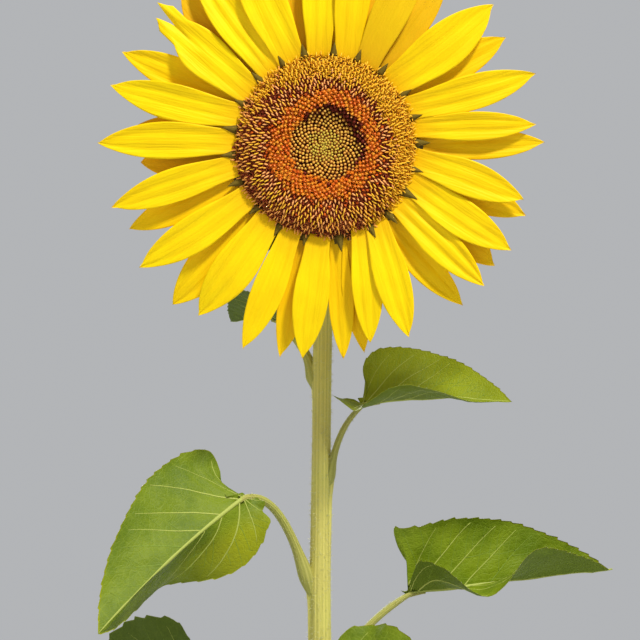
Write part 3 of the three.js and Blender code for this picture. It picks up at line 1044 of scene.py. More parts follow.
@dataclass(frozen=True)
class LowerLeaves:
    """The rule that the ten lower leaves follow down the stem, from top to bottom."""

    count: int = 10
    top_node: float = 815
    spacing: float = 58
    first_azimuth: float = 70
    golden_angle: float = 137.5
    out: tuple[float, float] = (88, 120)
    rise: tuple[float, float] = (62, 40)
    lean: float = 0.5
    join: tuple[float, float] = (-2, -12)
    length: tuple[float, float] = (165, 205)
    breadth: tuple[float, float] = (0.43, 0.47)
    base: float = 0.52
    pitch: tuple[float, float] = (-16, -40)
    droop: tuple[float, float] = (38, 52)
    lift: tuple[float, float] = (20, 11)
    curl: float = 8
    wobble: float = 5
    wander: float = 2.4

    def poses(self) -> list[LeafPose]:
        """The ten leaves, from the top down."""
        made = []
        for i in range(self.count):
            down = i / (self.count - 1)

            def between(ends: tuple[float, float], share: float = down) -> float:
                """The value at this leaf's share of the way down."""
                return ends[0] + (ends[1] - ends[0]) * share

            def stray(phase: float, step: int = i) -> float:
                """How far this leaf strays from the rule."""
                return self.wobble * math.sin(self.wander * step + phase)

            azimuth = self.first_azimuth + i * self.golden_angle
            node, length = self.top_node - i * self.spacing, between(self.length) + stray(1)
            lift, tilt = between(self.lift), stray(3)
            left, right = (Half((rim, rim, lift, lift), (self.curl,)) for rim in (lift + tilt, lift - tilt))
            made.append(
                LeafPose(
                    node, azimuth, between(self.out), between(self.rise), self.lean, between(self.join),
                    length, between(self.breadth), self.base, azimuth + stray(0), between(self.pitch),
                    between(self.droop), stray(2), left, right,
                    age=0.25 + 0.35 * abs(math.sin(1.9 * i)), yellow=0.25 * abs(math.sin(2.7 * i)),
                )
            )
        return made


# ---- stem


@dataclass(frozen=True)
class HairKind:
    """Stiff pale hairs of one kind."""

    shortest: float = 0.9
    longest: float = 2.6
    radius: float = 0.13
    lean: float = 0.35

    def grown(self, points: Array, normals: Array, rng: Chance) -> Surface:
        """One hair at each point.

        Args:
            points: Where they stand.
            normals: Which way is out there.
            rng: The seeded chance.

        Returns:
            All the hairs as one surface.
        """
        template = turned_solid([(1.0, -0.15), (0.8, 0.4), (0.0, 1.0)], 3)
        count = len(points)
        ways = unit(normals + self.lean * rng.normal(size=(count, 3)))
        length = rng.uniform(self.shortest, self.longest, count)
        spins = rng.uniform(0, math.tau, count)
        sizes = together(self.radius, self.radius, length)
        return scattered(template, points, frames_about(ways, spins), sizes)


@dataclass(frozen=True)
class Stem:
    """The upright stem with its ribs, leaf scars, root flare and bent neck.

    Under each leaf stands a knuckle, and a ridge between two furrows runs down from it as
    far as trace. Their places are a centre and a reach, up the stem or round it in radians.
    """

    leaves: tuple[LeafPose, ...]
    straight: float = 1258
    bend_radius: float = 55
    tilt: float = 5
    shift: float = 3
    top_radius: float = 7.4
    foot_radius: float = 13
    taper_power: float = 1.6
    flare: float = 8
    waist: float = 0.18
    waist_height: float = 1140.0
    waist_reach: float = 150.0
    flare_fade: float = 28
    flare_lobes: int = 5
    flare_lobe_share: float = 0.25
    neck_radius: float = 10.8
    neck_swell: float = 80
    sway: float = -7
    sway_top: float = 1000
    rib_depth: float = 0.017
    inward: float = 0.1
    knuckle: float = 1.5
    knuckle_rise: tuple[float, float] = (-2.0, 9.0)
    knuckle_width: float = 0.75
    trace: float = 80.0
    ridge: float = 1.25
    ridge_place: tuple[float, float] = (0.0, 0.2)
    furrow: float = 0.5
    furrow_place: tuple[float, float] = (0.42, 0.14)
    sides: int = 90
    ring_step: float = 4.5
    overlap: float = 2.0
    hair_count: int = 9000

    @property
    def length(self) -> float:
        """The length of the axis, from the foot to the receptacle."""
        return self.straight + self.bend_radius * math.radians(90 + self.tilt)

    def axis(self, along: Array | float) -> Array:
        """Points on the axis.

        Args:
            along: How far up the stem.

        Returns:
            Rows of x, y and z.
        """
        s = np.asarray(along, float)
        swayed = np.minimum(s, self.sway_top) / self.sway_top
        bend = np.maximum(0.0, s - self.straight) / self.bend_radius
        aside = self.sway * np.sin(math.pi * swayed) ** 2 + self.shift * smooth(s, self.sway_top, self.length)
        ahead = self.bend_radius * (np.cos(bend) - 1.0)
        return together(aside, ahead, np.minimum(s, self.straight) + self.bend_radius * np.sin(bend))

    def radius(self, along: Array, azimuth: Array) -> tuple[Array, Array]:
        """The stem's outside.

        Args:
            along: How far up.
            azimuth: Which way from the axis, in radians.

        Returns:
            The radius, and how much of a crest there is, from 0 to 1.
        """
        left = 1.0 - np.minimum(1.0, along / self.straight)
        size = self.top_radius + (self.foot_radius - self.top_radius) * left**self.taper_power
        lobes = 1.0 + self.flare_lobe_share * np.cos(self.flare_lobes * (azimuth + math.pi / 2))
        size = size + self.flare * lobes * np.exp(-along / self.flare_fade)
        size = size * (1.0 - self.waist * hump(along, self.waist_height, self.waist_reach))
        neck = smooth(along, self.length - self.neck_swell, self.length)
        size = size + (self.neck_radius - self.top_radius) * neck
        ribs = 0.6 * np.cos(15 * azimuth + 0.7 * np.sin(along / 95.0))
        ribs = ribs + 0.4 * np.cos(23 * azimuth + 1.7 + 0.9 * np.sin(along / 140.0))
        crest = 0.5 + 0.5 * ribs
        size = size * (1.0 + self.rib_depth * ribs) - self.inward
        for leaf in self.leaves:
            away = wrapped(azimuth - math.radians(leaf.azimuth + leaf.swing))
            up = along - leaf.node
            size = size + self.knuckle * hump(up, *self.knuckle_rise) * hump(away, 0.0, self.knuckle_width)
            below = smooth(up, -self.trace, -4.0) * (1.0 - smooth(up, -4.0, 5.0))
            ridge, furrow = hump(away, *self.ridge_place), hump(np.abs(away), *self.furrow_place)
            size = size + below * (self.ridge * ridge - self.furrow * furrow)
            crest = crest + below * (0.6 * ridge - 0.8 * furrow)
        return size, np.clip(crest, 0.0, 1.0)

    def skin(self, along: Array, azimuth: Array) -> tuple[Array, Array, Array]:
        """Points on the outside.

        Args:
            along: How far up, in any shape.
            azimuth: Which way, in the same shape.

        Returns:
            The points, the outward ways and the crests.
        """
        centre = self.axis(along)
        tangent = unit(self.axis(along + 0.5) - self.axis(along - 0.5))
        across = unit(X_AXIS - tangent * tangent[..., :1])
        out = ways_round(across, np.cross(tangent, across), azimuth)
        size, crest = self.radius(along, azimuth)
        return centre + out * size[..., None], out, crest

    def build(self, effects: Effects, hair: Material, rng: Chance) -> None:
        """Makes the stem and its hairs.

        Args:
            effects: The shared node groups.
            hair: The hairs' finish.
            rng: The seeded chance.
        """
        rows = int(self.length / self.ring_step)
        heights = np.append([0.0, 3.0, 6.0], np.linspace(10.0, self.length + self.overlap, rows))
        along, azimuth = np.broadcast_arrays(heights[:, None], turns(self.sides))
        points, _, crest = self.skin(along, azimuth)
        points[0, :, 2] = 0.0
        marks = together(azimuth / math.tau, along / 100.0, crest)
        finish = StalkFinish("Stem skin", paint(228, 218, 116), paint(190, 186, 84), paint(176, 150, 84))
        make_piece("Stem", capped_tube(points, marks), finish.build(effects), "stem")
        up = rng.uniform(0.0, 1.0, self.hair_count) ** 0.8 * (self.length - 30) + 20
        way = rng.uniform(0, math.tau, self.hair_count)
        roots, out, _ = self.skin(up, way)
        make_piece("Stem hairs", HairKind().grown(roots, out, rng), hair, "stem")


# ---- petioles


@dataclass(frozen=True)
class Petiole:
    """One grooved leaf stalk, from inside the stem to the blade's base."""

    pose: LeafPose
    stem: Stem
    number: int
    root: float = 4.0
    tip: float = 2.7
    start: float = 0.4
    end: float = 0.3
    drop: float = 15.0
    inset: float = 3.6
    foot: float = 0.5
    swell: float = 0.6
    swell_place: tuple[float, float] = (0.14, 0.12)
    groove_depth: float = 0.26
    rib_depth: float = 0.022
    under: float = 0.9
    run_on: float = 12.0
    run_share: float = 1.16
    run_tip: float = 0.7
    rings: int = 50
    sides: int = 20
    hair_count: int = 170

    def handles(self) -> Array:
        """The four handles of the stalk's curve, in place on the stem."""
        pose = self.pose
        base = np.array([pose.out, 0.0, pose.rise])
        slope, turn = math.radians(pose.join), math.radians(pose.heading - pose.azimuth)
        arrive = level_ways(turn) * math.cos(slope) + Z_AXIS * math.sin(slope)
        leave = unit(np.array([pose.out * pose.lean, 0.0, pose.rise]))
        up = turned_about_z(pose.placed(np.zeros(1), np.zeros(1), np.ones(1))[0], -pose.azimuth)
        reach = float(np.linalg.norm(base))
        tip = base - up * self.under
        foot = np.array([[self.inset, 0.0, -self.drop], leave * reach * self.start])
        blade = np.array([tip - arrive * reach * self.end, tip])
        handles = [turned_about_z(foot, pose.azimuth + pose.swing), turned_about_z(blade, pose.azimuth)]
        return np.concatenate(handles) + self.stem.axis(pose.node)

    def curve(self, t: Array) -> Array:
        """Points along the stalk.

        Args:
            t: From 0 in the stem to 1 at the blade, and on under the midrib.

        Returns:
            Rows of x, y and z.
        """
        a, b, c, d = self.handles()
        past = np.maximum(0.0, t - 1.0) / (self.run_share - 1.0) * self.run_on
        t = np.minimum(t, 1.0)[..., None]
        stalk = a * (1 - t) ** 3 + 3 * b * t * (1 - t) ** 2 + 3 * c * t * t * (1 - t) + d * t**3
        flat, under = np.zeros(past.shape), np.full(past.shape, -self.under)
        return stalk + self.pose.placed(past, flat, under) - self.pose.placed(flat, flat, under)

    def skin(self, t: Array, azimuth: Array) -> tuple[Array, Array, Array]:
        """Points on the outside.

        Args:
            t: How far along, in any shape.
            azimuth: Which way from its axis, in radians, with a quarter turn looking up.

        Returns:
            The points, the outward ways and the crests.
        """
        centre = self.curve(t)
        tangent = unit(self.curve(t + 0.01) - self.curve(np.maximum(t - 0.01, 0.0)))
        across = unit(np.cross(tangent, Z_AXIS))
        size = self.root + (self.tip - self.root) * np.sqrt(t)
        size = size * (1.0 + self.swell * hump(t, *self.swell_place))
        size = size * (self.foot + (1.0 - self.foot) * smooth(t, 0.0, 0.16))
        size = size * self.pose.stalk * (1.0 - 0.15 * smooth(t, 0.82, 1.0))
        size = size + (self.run_tip - size) * smooth(t, 0.98, self.run_share)
        groove = hump(azimuth, math.pi / 2, 0.42) * (1.0 - 0.6 * np.exp(-t * 7.0))
        ribs = np.cos(9 * azimuth + 0.4)
        size = size * (1.0 - self.groove_depth * groove + self.rib_depth * ribs)
        out = ways_round(across, np.cross(across, tangent), azimuth)
        crest = np.clip(0.55 + 0.35 * ribs - 0.5 * groove, 0.0, 1.0)
        return centre + out * size[..., None], out, crest

    def build(self, finish: Material, rng: Chance) -> Surface:
        """Makes the stalk.

        Args:
            finish: The stalk's finish.
            rng: The seeded chance.

        Returns:
            Its hairs, still to be joined with the others.
        """
        t = np.linspace(0.0, self.run_share, self.rings)[:, None]
        t, azimuth = np.broadcast_arrays(t, turns(self.sides))
        points, _, crest = self.skin(t, azimuth)
        marks = together(azimuth / math.tau, t, crest)
        node = f"petiole_{self.number:02d}"
        make_piece(f"Petiole {self.number}", capped_tube(points, marks), finish, node)
        where = rng.uniform(0.12, 0.97, self.hair_count)
        roots, out, _ = self.skin(where, rng.uniform(0, math.tau, self.hair_count))
        return HairKind(shortest=0.6, longest=1.7).grown(roots, out, rng)


# ---- leaf blades


RIB_SECTION = ((-1, 0.1), (-0.45, 0.5), (0.45, 0.5), (1, 0.1), (0.6, -0.85), (-0.6, -0.85))
USUAL_LENGTH = 150.0  # of a blade, in millimetres, at which widths and depths are as given


@dataclass(frozen=True)
class Vein:
    """One vein on the flat blade: where it runs, its half-width along the way and its rank."""

    path: Array
    half_width: Array
    small: bool = False


@dataclass(frozen=True)
class LeafBlade:
    """One toothed blade with its veins, quilted between them."""

    pose: LeafPose
    stem: Stem
    number: int
    thickness: float = 0.5
    teeth: int = 24
    samples: int = 4
    tooth: float = 1.5
    tooth_shape: tuple[float, ...] = (0.0, 1.0, 0.6, 0.25)
    rings: int = 28
    rim_share: float = 0.985
    sweep_reach: float = 0.28
    frill: float = 2.0
    frills: float = 7.0
    hill: float = 1.2
    hill_length: float = 52.0
    hill_width: float = 47.0
    quilt: float = 1.0
    quilt_reach: float = 5.0
    midrib_end: float = 0.96
    taper: float = 0.72
    side_veins: tuple[float, ...] = (0.035, 0.14, 0.26, 0.38, 0.5, 0.62, 0.74)
    lobe_veins: tuple[float, ...] = (1.4, 1.95, 2.45)
    hair_count: int = 150

    @property
    def scale(self) -> float:
        """The blade's size beside a usual one."""
        return self.pose.length / USUAL_LENGTH

    def base(self) -> Array:
        """The point where the blade joins its petiole."""
        arm = np.array([self.pose.out, 0.0, self.pose.rise])
        return self.stem.axis(self.pose.node) + turned_about_z(arm, self.pose.azimuth)

    def half_angles(self) -> Array:
        """Angles from tip to notch that lie evenly along the margin."""
        dense = np.linspace(0.0, math.pi, 1200)
        reach = self.pose.margin(dense)
        edge = np.stack([reach * np.cos(dense), reach * np.sin(dense)], axis=1)
        run = np.concatenate([[0.0], np.cumsum(np.linalg.norm(np.diff(edge, axis=0), axis=1))])
        return np.interp(np.linspace(0.0, run[-1], self.teeth * self.samples + 1), run, dense)

    def angles(self) -> Array:
        """The angles of the blade's spokes, all the way round from the tip."""
        half = self.half_angles()
        return np.concatenate([half, math.tau - half[1:-1][::-1]])

    def shares(self) -> Array:
        """How far out each ring of the blade lies."""
        return np.append(self.rim_share * np.linspace(0.0, 1.0, self.rings)[1:] ** 0.92, 1.0)

    def edge(self, angle: Array) -> Array:
        """How far from the base the smooth line lies that the teeth stand on."""
        return self.pose.length * self.pose.margin(wrapped(angle)) - self.scale

    def place_of(self, forward: Array, leftward: Array) -> tuple[Array, Array]:
        """The angle of a flat point and its share of the way to the margin."""
        angle = np.arctan2(leftward, forward)
        return angle, np.clip(np.hypot(forward, leftward) / self.edge(angle), 0.0, 1.0)

    def hooked(self, forward: Array, leftward: Array) -> Array:
        """Where points of the plain outline lie along the midrib once the lobes are hooked."""
        angle, share = self.place_of(forward, leftward)
        near = np.minimum(1.0, np.hypot(forward, leftward) / (self.sweep_reach * self.pose.length))
        return forward + share * self.pose.hooked(angle) + near * (1.0 - share**3) * self.pose.swept(angle)

    def relief(self, forward: Array, leftward: Array) -> Array:
        """The blade's own waves, without the quilting.

        Args:
            forward: Along the midrib.
            leftward: Across it.

        Returns:
            How far the blade stands off its middle surface.
        """
        angle, out = self.place_of(forward, leftward)
        seed = 1.7 * self.number
        waves = np.sin(self.frills * angle + seed + 1.3 * np.sin(3 * angle))
        waves = waves * smooth(np.abs(angle), 0.05, 0.5)
        along, across = forward / (self.hill_length * self.scale), leftward / (self.hill_width * self.scale)
        hills = ripple(along, across, seed)
        height = self.frill * out**4 * waves + self.hill * hills * smooth(out, 0.0, 0.6)
        return self.scale * height * smooth(math.pi - np.abs(angle), 0.0, 0.4)

    def veins(self) -> list[Vein]:
        """The midrib, the side veins and the lobes' veins, on a blade of length one."""
        rng = np.random.default_rng(700 + self.number)
        along = np.linspace(0.0, self.midrib_end, 30)
        size = 1.0 / USUAL_LENGTH
        made = [Vein(together(along, 0.0), (1.2 * (1 - along) ** 0.75 + 0.2) * size)]
        for side in (1.0, -1.0):
            for k, start in enumerate(self.side_veins):
                start = start + rng.uniform(-0.012, 0.012) + (0.02 if side < 0 and k else 0.0)
                steep = 0.72 if k == 0 else 0.95 + 0.03 * k
                t = np.linspace(0.0, 0.62, 40)
                sway = 0.008 * np.sin(14.0 * t + rng.uniform(0.0, math.tau)) * smooth(t, 0.0, 0.1)
                path = together(start + steep * t + 0.8 * t * t + sway, side * t)
                width = max(0.24, 0.62 - 0.08 * k) * size
                main = self.trimmed(path, width, 0.94)
                made.append(replace(main, small=k > 2))
                for share in (0.3, 0.5, 0.7, 0.86) if k < 4 else (0.45, 0.7):
                    made.append(self.branch(main, share + rng.uniform(-0.05, 0.05), side, 0.2 * size))
                if k:
                    made.append(self.branch(main, 0.55 + rng.uniform(-0.1, 0.1), -side, 0.18 * size))
            for angle in self.lobe_veins:
                t = np.linspace(0.0, 0.6, 30)
                way = angle - 0.25 * t / 0.3
                path = together(0.01 + t * np.cos(way), side * t * np.sin(way))
                lobe = self.trimmed(path, 0.38 * size, 0.9)
                made.append(lobe)
                for share in (0.4, 0.68):
                    made.append(self.branch(lobe, share, side, 0.18 * size))
        return [vein for vein in made if len(vein.path) > 3]

    def trimmed(self, path: Array, width: float, most: float) -> Vein:
        """A vein cut off where it nears the margin.

        Args:
            path: Points on the flat blade.
            width: Its half-width at the start.
            most: The share of the way to the margin where it ends.

        Returns:
            The tapered vein.
        """
        reach = self.pose.margin(np.arctan2(path[:, 1], path[:, 0]))
        inside = np.hypot(path[:, 0], path[:, 1]) < most * reach
        last = int(np.argmin(inside)) if not inside.all() else len(path)
        kept = path[:last]
        return Vein(kept, width * (1.0 - self.taper * np.linspace(0.0, 1.0, max(len(kept), 1))))

    def branch(self, parent: Vein, share: float, side: float, width: float) -> Vein:
        """A small vein that leaves another.

        Args:
            parent: The vein it leaves.
            share: Where along the parent.
            side: Which way it turns off, 1 or -1.
            width: Its half-width at the start.

        Returns:
            The small vein.
        """
        if len(parent.path) < 5:
            return Vein(parent.path[:1], parent.half_width[:1])
        at = min(len(parent.path) - 2, int(share * (len(parent.path) - 1)))
        root = parent.path[at]
        way = parent.path[at + 1] - root
        heading = math.atan2(way[1], way[0]) + side * 0.75
        t = np.linspace(0.0, 0.26, 16)
        bend = heading - side * 2.0 * t
        step = together(np.cos(bend), np.sin(bend)) * t[1]
        path = root + np.cumsum(step, axis=0) - step[0]
        return replace(self.trimmed(path, width, 0.92), small=True)

    def quilting(self, forward: Array, leftward: Array, veins: Sequence[Vein]) -> Array:
        """How far the blade bulges between its veins.

        Args:
            forward: Along the midrib.
            leftward: Across it.
            veins: The blade's veins.

        Returns:
            The bulge, which is nothing on a vein.
        """
        spots = np.concatenate([v.path[::2] for v in veins]) * self.pose.length
        flat = together(forward.ravel(), leftward.ravel())
        gap = np.full(len(flat), 1e9)
        for spot in np.array_split(spots, max(1, len(spots) // 60)):
            gap = np.minimum(gap, ((flat[:, None, :] - spot[None]) ** 2).sum(-1).min(1))
        bulge = 1.0 - np.exp(-gap / (self.quilt_reach * self.scale) ** 2)
        return (self.quilt * self.scale * bulge).reshape(forward.shape)

    def teeth_line(self) -> Array:
        """How far each spoke's tooth stands out from the smooth edge."""
        rng = np.random.default_rng(300 + self.number)
        count = self.teeth * self.samples + 1
        steps = np.arange(count)
        depth = rng.uniform(0.5, 1.2, self.teeth + 1)[steps // self.samples]
        near_ends = smooth(steps, 1.0, 8.0) * (1.0 - smooth(steps, 0.76 * count, 0.9 * count))
        shape = np.array(self.tooth_shape)[steps % self.samples]
        tooth = self.tooth * self.pose.jagged * self.scale * shape * depth * near_ends
        return np.concatenate([tooth, tooth[1:-1][::-1] * 0.93])

    def heights(self, veins: Sequence[Vein]) -> tuple[Array, Array, Array]:
        """The blade's grid.

        Args:
            veins: The blade's veins.

        Returns:
            The places along and across the midrib, and the heights, as rings by spokes.
        """
        share, angle = self.shares()[:, None], self.angles()[None, :]
        radius = share * self.edge(angle) + smooth(share, 0.84, 1.0) * self.teeth_line()
        forward, leftward = radius * np.cos(angle), radius * np.sin(angle)
        return forward, leftward, self.relief(forward, leftward) + self.quilting(forward, leftward, veins)

    def height_at(self, forward: Array, leftward: Array, grid: Array) -> Array:
        """The height of the blade's own facets at any place.

        Args:
            forward: Along the midrib.
            leftward: Across it.
            grid: The heights, as rings by spokes.

        Returns:
            The height at each place.
        """
        columns = grid.shape[1]
        angle = np.arctan2(leftward, forward) % math.tau
        column = np.interp(angle, np.append(self.angles(), math.tau), np.arange(columns + 1))
        share = np.clip(np.hypot(forward, leftward) / self.edge(angle), 0.0, 1.0)
        ring = np.interp(share, self.shares(), np.arange(self.rings))
        c0, r0 = np.floor(column).astype(int), np.floor(ring).astype(int)
        fc, fr = column - c0, ring - r0
        r1, left, right = np.minimum(r0 + 1, self.rings - 1), c0 % columns, (c0 + 1) % columns
        near = grid[r0, left] * (1 - fc) + grid[r0, right] * fc
        far = grid[r1, left] * (1 - fc) + grid[r1, right] * fc
        return near * (1 - fr) + far * fr

    def sheet(self, veins: Sequence[Vein]) -> Surface:
        """The blade itself.

        Args:
            veins: The blade's veins.

        Returns:
            The blade about its own base.
        """
        pose, share = self.pose, self.shares()
        forward, leftward, above = self.heights(veins)
        edge = (1.0 - 0.6 * smooth(share, 0.9, 1.0))[:, None] * self.thickness / 2
        hooked = self.hooked(forward, leftward)
        upper = pose.placed(hooked, leftward, above + edge)
        lower = pose.placed(hooked, leftward, above - edge)
        count, columns = forward.size, forward.shape[1]
        face = lattice(self.rings, columns, True)
        ring = np.arange(columns)
        after = (ring + 1) % columns
        outer = (self.rings - 1) * columns
        rim = outer + together(ring, ring + count, after + count, after)
        middle = pose.placed(np.zeros(2), np.zeros(2), np.array([1.0, -1.0]) * self.thickness / 2)
        fan = together(2 * count, ring, after)
        fan_under = together(2 * count + 1, after + count, ring + count)
        flat = together(forward, leftward).reshape(-1, 2) / pose.length
        flat = np.concatenate([flat, flat, [[0.0, 0.0], [0.0, 0.0]]])
        under = np.concatenate([np.zeros(count), np.ones(count), [0.0, 1.0]])[:, None]
        # patch: flush lays painted sunlight evenly and yellow a painted glow of light shining through the
        # blade near its base, which on the lower leaves is their own yellow tint; the margin's outermost ring
        # is made fully yellow.
        patch = pose.flush + hump(flat[:, 0], 0.14, 0.2) * smooth(flat[:, 1], 0.02, 0.16) * pose.yellow
        patch[outer:count] = patch[outer + count : 2 * count] = 1.0
        dust = hump(flat[:, 1], 0.08, 0.09) * smooth(flat[:, 0], 0.2, 0.4) * pose.dust
        return Surface(
            np.concatenate([upper.reshape(-1, 3), lower.reshape(-1, 3), middle]),
            np.concatenate([face, face[:, ::-1] + count, rim]),
            np.concatenate([fan, fan_under]),
            np.concatenate([flat, under], axis=1),
            together(patch, dust, pose.age),
        ).outward()

    def ribs(self, veins: Sequence[Vein], small: bool = False) -> Surface:
        """The veins as raised ribs, low on the upper side and high on the lower one.

        Args:
            veins: The blade's veins.
            small: Whether to make the small veins or the main ones.

        Returns:
            All ribs as one surface about the blade's base.
        """
        section = np.array(RIB_SECTION)
        grid = self.heights(veins)[2]
        parts = []
        for vein in veins:
            if vein.small != small:
                continue
            path, half = vein.path * self.pose.length, vein.half_width * self.pose.length
            way = unit(np.gradient(path, axis=0))
            side = together(-way[:, 1], way[:, 0])
            spread = path[:, None, :] + side[:, None, :] * (section[None, :, 0:1] * half[:, None, None])
            ground = self.height_at(path[:, 0], path[:, 1], grid)[:, None]
            grip = self.thickness / 2 * np.where(section[None, :, 1] > 0, 1.15, -1.0)
            above = ground + grip + section[None, :, 1] * half[:, None]
            hooked = self.hooked(spread[..., 0], spread[..., 1])
            parts.append(capped_tube(self.pose.placed(hooked, spread[..., 1], above)))
        return Surface.joined(parts)

    def build(self, finish: Material, rib: Material, rib_small: Material, rng: Chance) -> Surface:
        """Makes the blade and its ribs.

        Args:
            finish: The blade's finish.
            rib: The main ribs' finish.
            rib_small: The small ribs' finish.
            rng: The seeded chance.

        Returns:
            The hairs on its margin, still to be joined with the others.
        """
        veins = self.veins()
        node = f"leaf_blade_{self.number:02d}"
        base = self.base()
        sheet = self.sheet(veins)
        sheet.points = sheet.points + base
        make_piece(f"Leaf {self.number}", sheet, finish, node)
        for small, label, coat in ((False, "veins", rib), (True, "veinlets", rib_small)):
            ribs = self.ribs(veins, small)
            ribs.points = ribs.points + base
            make_piece(f"Leaf {self.number} {label}", ribs, coat, node)
        spokes = len(self.angles())
        rim = (self.rings - 1) * spokes + rng.choice(np.arange(6, spokes - 6), self.hair_count)
        here, inner = sheet.points[rim], sheet.points[rim - spokes]
        return HairKind(0.5, 1.1, 0.06).grown(here, unit(here - inner), rng)


# ---- head


@dataclass(frozen=True)
class Head:
    """Where the head sits: its own +Z looks out of the flower and +Y is up."""

    stem: Stem
    back: float = -36
    gap: float = 0.3
    shelf: float = 60
    disc_radius: float = 55.5

    def placed(self, points: Array) -> Array:
        """Head points in place on the plant.

        Args:
            points: Rows in the head's own axes.

        Returns:
            Rows in the plant's axes.
        """
        tilt = math.radians(self.stem.tilt)
        forward = np.array([0.0, -math.cos(tilt), -math.sin(tilt)])
        centre = self.stem.axis(self.stem.length) + forward * (self.gap - self.back)
        c, s = math.cos(math.pi / 2 + tilt), math.sin(math.pi / 2 + tilt)
        x, y, z = points[..., 0], points[..., 1], points[..., 2]
        return together(x, y * c - z * s, y * s + z * c) + centre

    def make(self, name: str, surface: Surface, material: Material, slot: Slot, node: str) -> None:
        """Builds a piece from a surface in the head's own axes, as make_piece does."""
        surface.points = self.placed(surface.points)
        make_piece(name, surface, material, node)


@dataclass(frozen=True)
class Whorl:
    """How the rays of one whorl rise, bend back and cup."""

    root: float
    root_height: float
    rise: float
    recurve: float


FRONT_WHORL = Whorl(root=54.2, root_height=1.2, rise=13, recurve=13)
BACK_WHORL = Whorl(root=57.5, root_height=-0.6, rise=2, recurve=6)


@dataclass(frozen=True)
class Ray:
    """One ray: where its root sits, where its tip points, its reach, width and turn.

    pleats deepens its folds and stain colours it with brown spots. painted_shadow turns it a dull
    brownish yellow and shade deepens its yellow: painted shadow and painted shade where other
    rays shadow it. cleft splits its tip and curl rolls its edges.
    """

    root: float
    tip: float
    reach: float
    width: float
    turn: float
    pleats: float = 1.0
    painted_shadow: float = 0.0
    stain: float = 0.0
    shade: float = 0.0
    cleft: float = 0.0
    curl: float = 0.0


# shade and painted_shadow on a ray are painted shade and painted shadow from the rays beside it; stain is its
# own brown spots.
FRONT_RAYS = (
    Ray(12, 6, 130, 18, 4, shade=0.3),
    Ray(25, 19, 136, 22, 4, shade=0.2, pleats=1.2),
    Ray(43, 40, 134, 28, 3, shade=0.15),
    Ray(63, 63, 133, 23, 4, painted_shadow=0.5, stain=0.6),
    Ray(76, 80, 135, 22, 5, shade=0.3, curl=0.3),
    Ray(94, 91, 133, 22, 5),
    Ray(111, 113, 135, 27, 5, shade=0.1),
    Ray(125, 126, 136, 26, 5, pleats=2.0),
    Ray(144, 141, 136, 27, 5, pleats=1.3, cleft=1.0),
    Ray(160, 164, 136, 23, -4),
    Ray(177, 179, 139, 23, -4),
    Ray(192, 196, 136, 21, -4, shade=0.1),
    Ray(213, 213, 136, 23, -4),
    Ray(232, 233, 130, 26, -4, pleats=1.3),
    Ray(248, 248, 134, 20, -4, pleats=1.9),
    Ray(266, 264, 131, 22, -4),
    Ray(294, 283, 124, 19, -4, pleats=1.2),
    Ray(305, 294, 128, 22, -4),
    Ray(323, 319, 130, 21, -3, pleats=2.0, shade=0.3),
    Ray(338, 331, 131, 23, -3, shade=0.2),
    Ray(352, 345, 126, 22, -3, shade=0.25),
)

# The back rays lie in the front rays' shadows, which shade and painted_shadow paint on them.
BACK_RAYS = (
    Ray(33, 31, 129, 22, 3, shade=0.5),
    Ray(53, 55, 131, 23, 3, painted_shadow=0.6, stain=0.7),
    Ray(71, 71, 120, 17, 3, painted_shadow=0.5, shade=0.7),
    Ray(86, 86, 127, 17, 3, shade=0.6),
    Ray(102, 102, 124, 22, 3, painted_shadow=0.5, shade=0.7),
    Ray(152, 155, 137, 22, -3, shade=0.25),
    Ray(135, 133, 130, 25, 3, painted_shadow=0.5, shade=0.7),
    Ray(171, 176, 122, 23, -3, painted_shadow=0.5, shade=0.7),
    Ray(187, 185, 114, 24, -3, painted_shadow=0.5, shade=0.7),
    Ray(202, 203, 131, 20, -3, shade=0.4),
    Ray(223, 226, 136, 27, -3, shade=0.15),
    Ray(256, 258, 133, 18, 3, painted_shadow=0.15, shade=0.4),
    Ray(278, 275, 132, 16, 3, shade=0.5),
    Ray(286, 281, 130, 16, 3, shade=0.6),
    Ray(309, 311, 130, 19, 3, pleats=2.2, painted_shadow=0.1, shade=0.3),
    Ray(330, 325, 128, 24, 3, painted_shadow=0.3, shade=0.5),
    Ray(345, 341, 131, 22, 3, painted_shadow=0.15, shade=0.4),
    Ray(359, 1, 135, 19, 3, painted_shadow=0.12, shade=0.4),
)


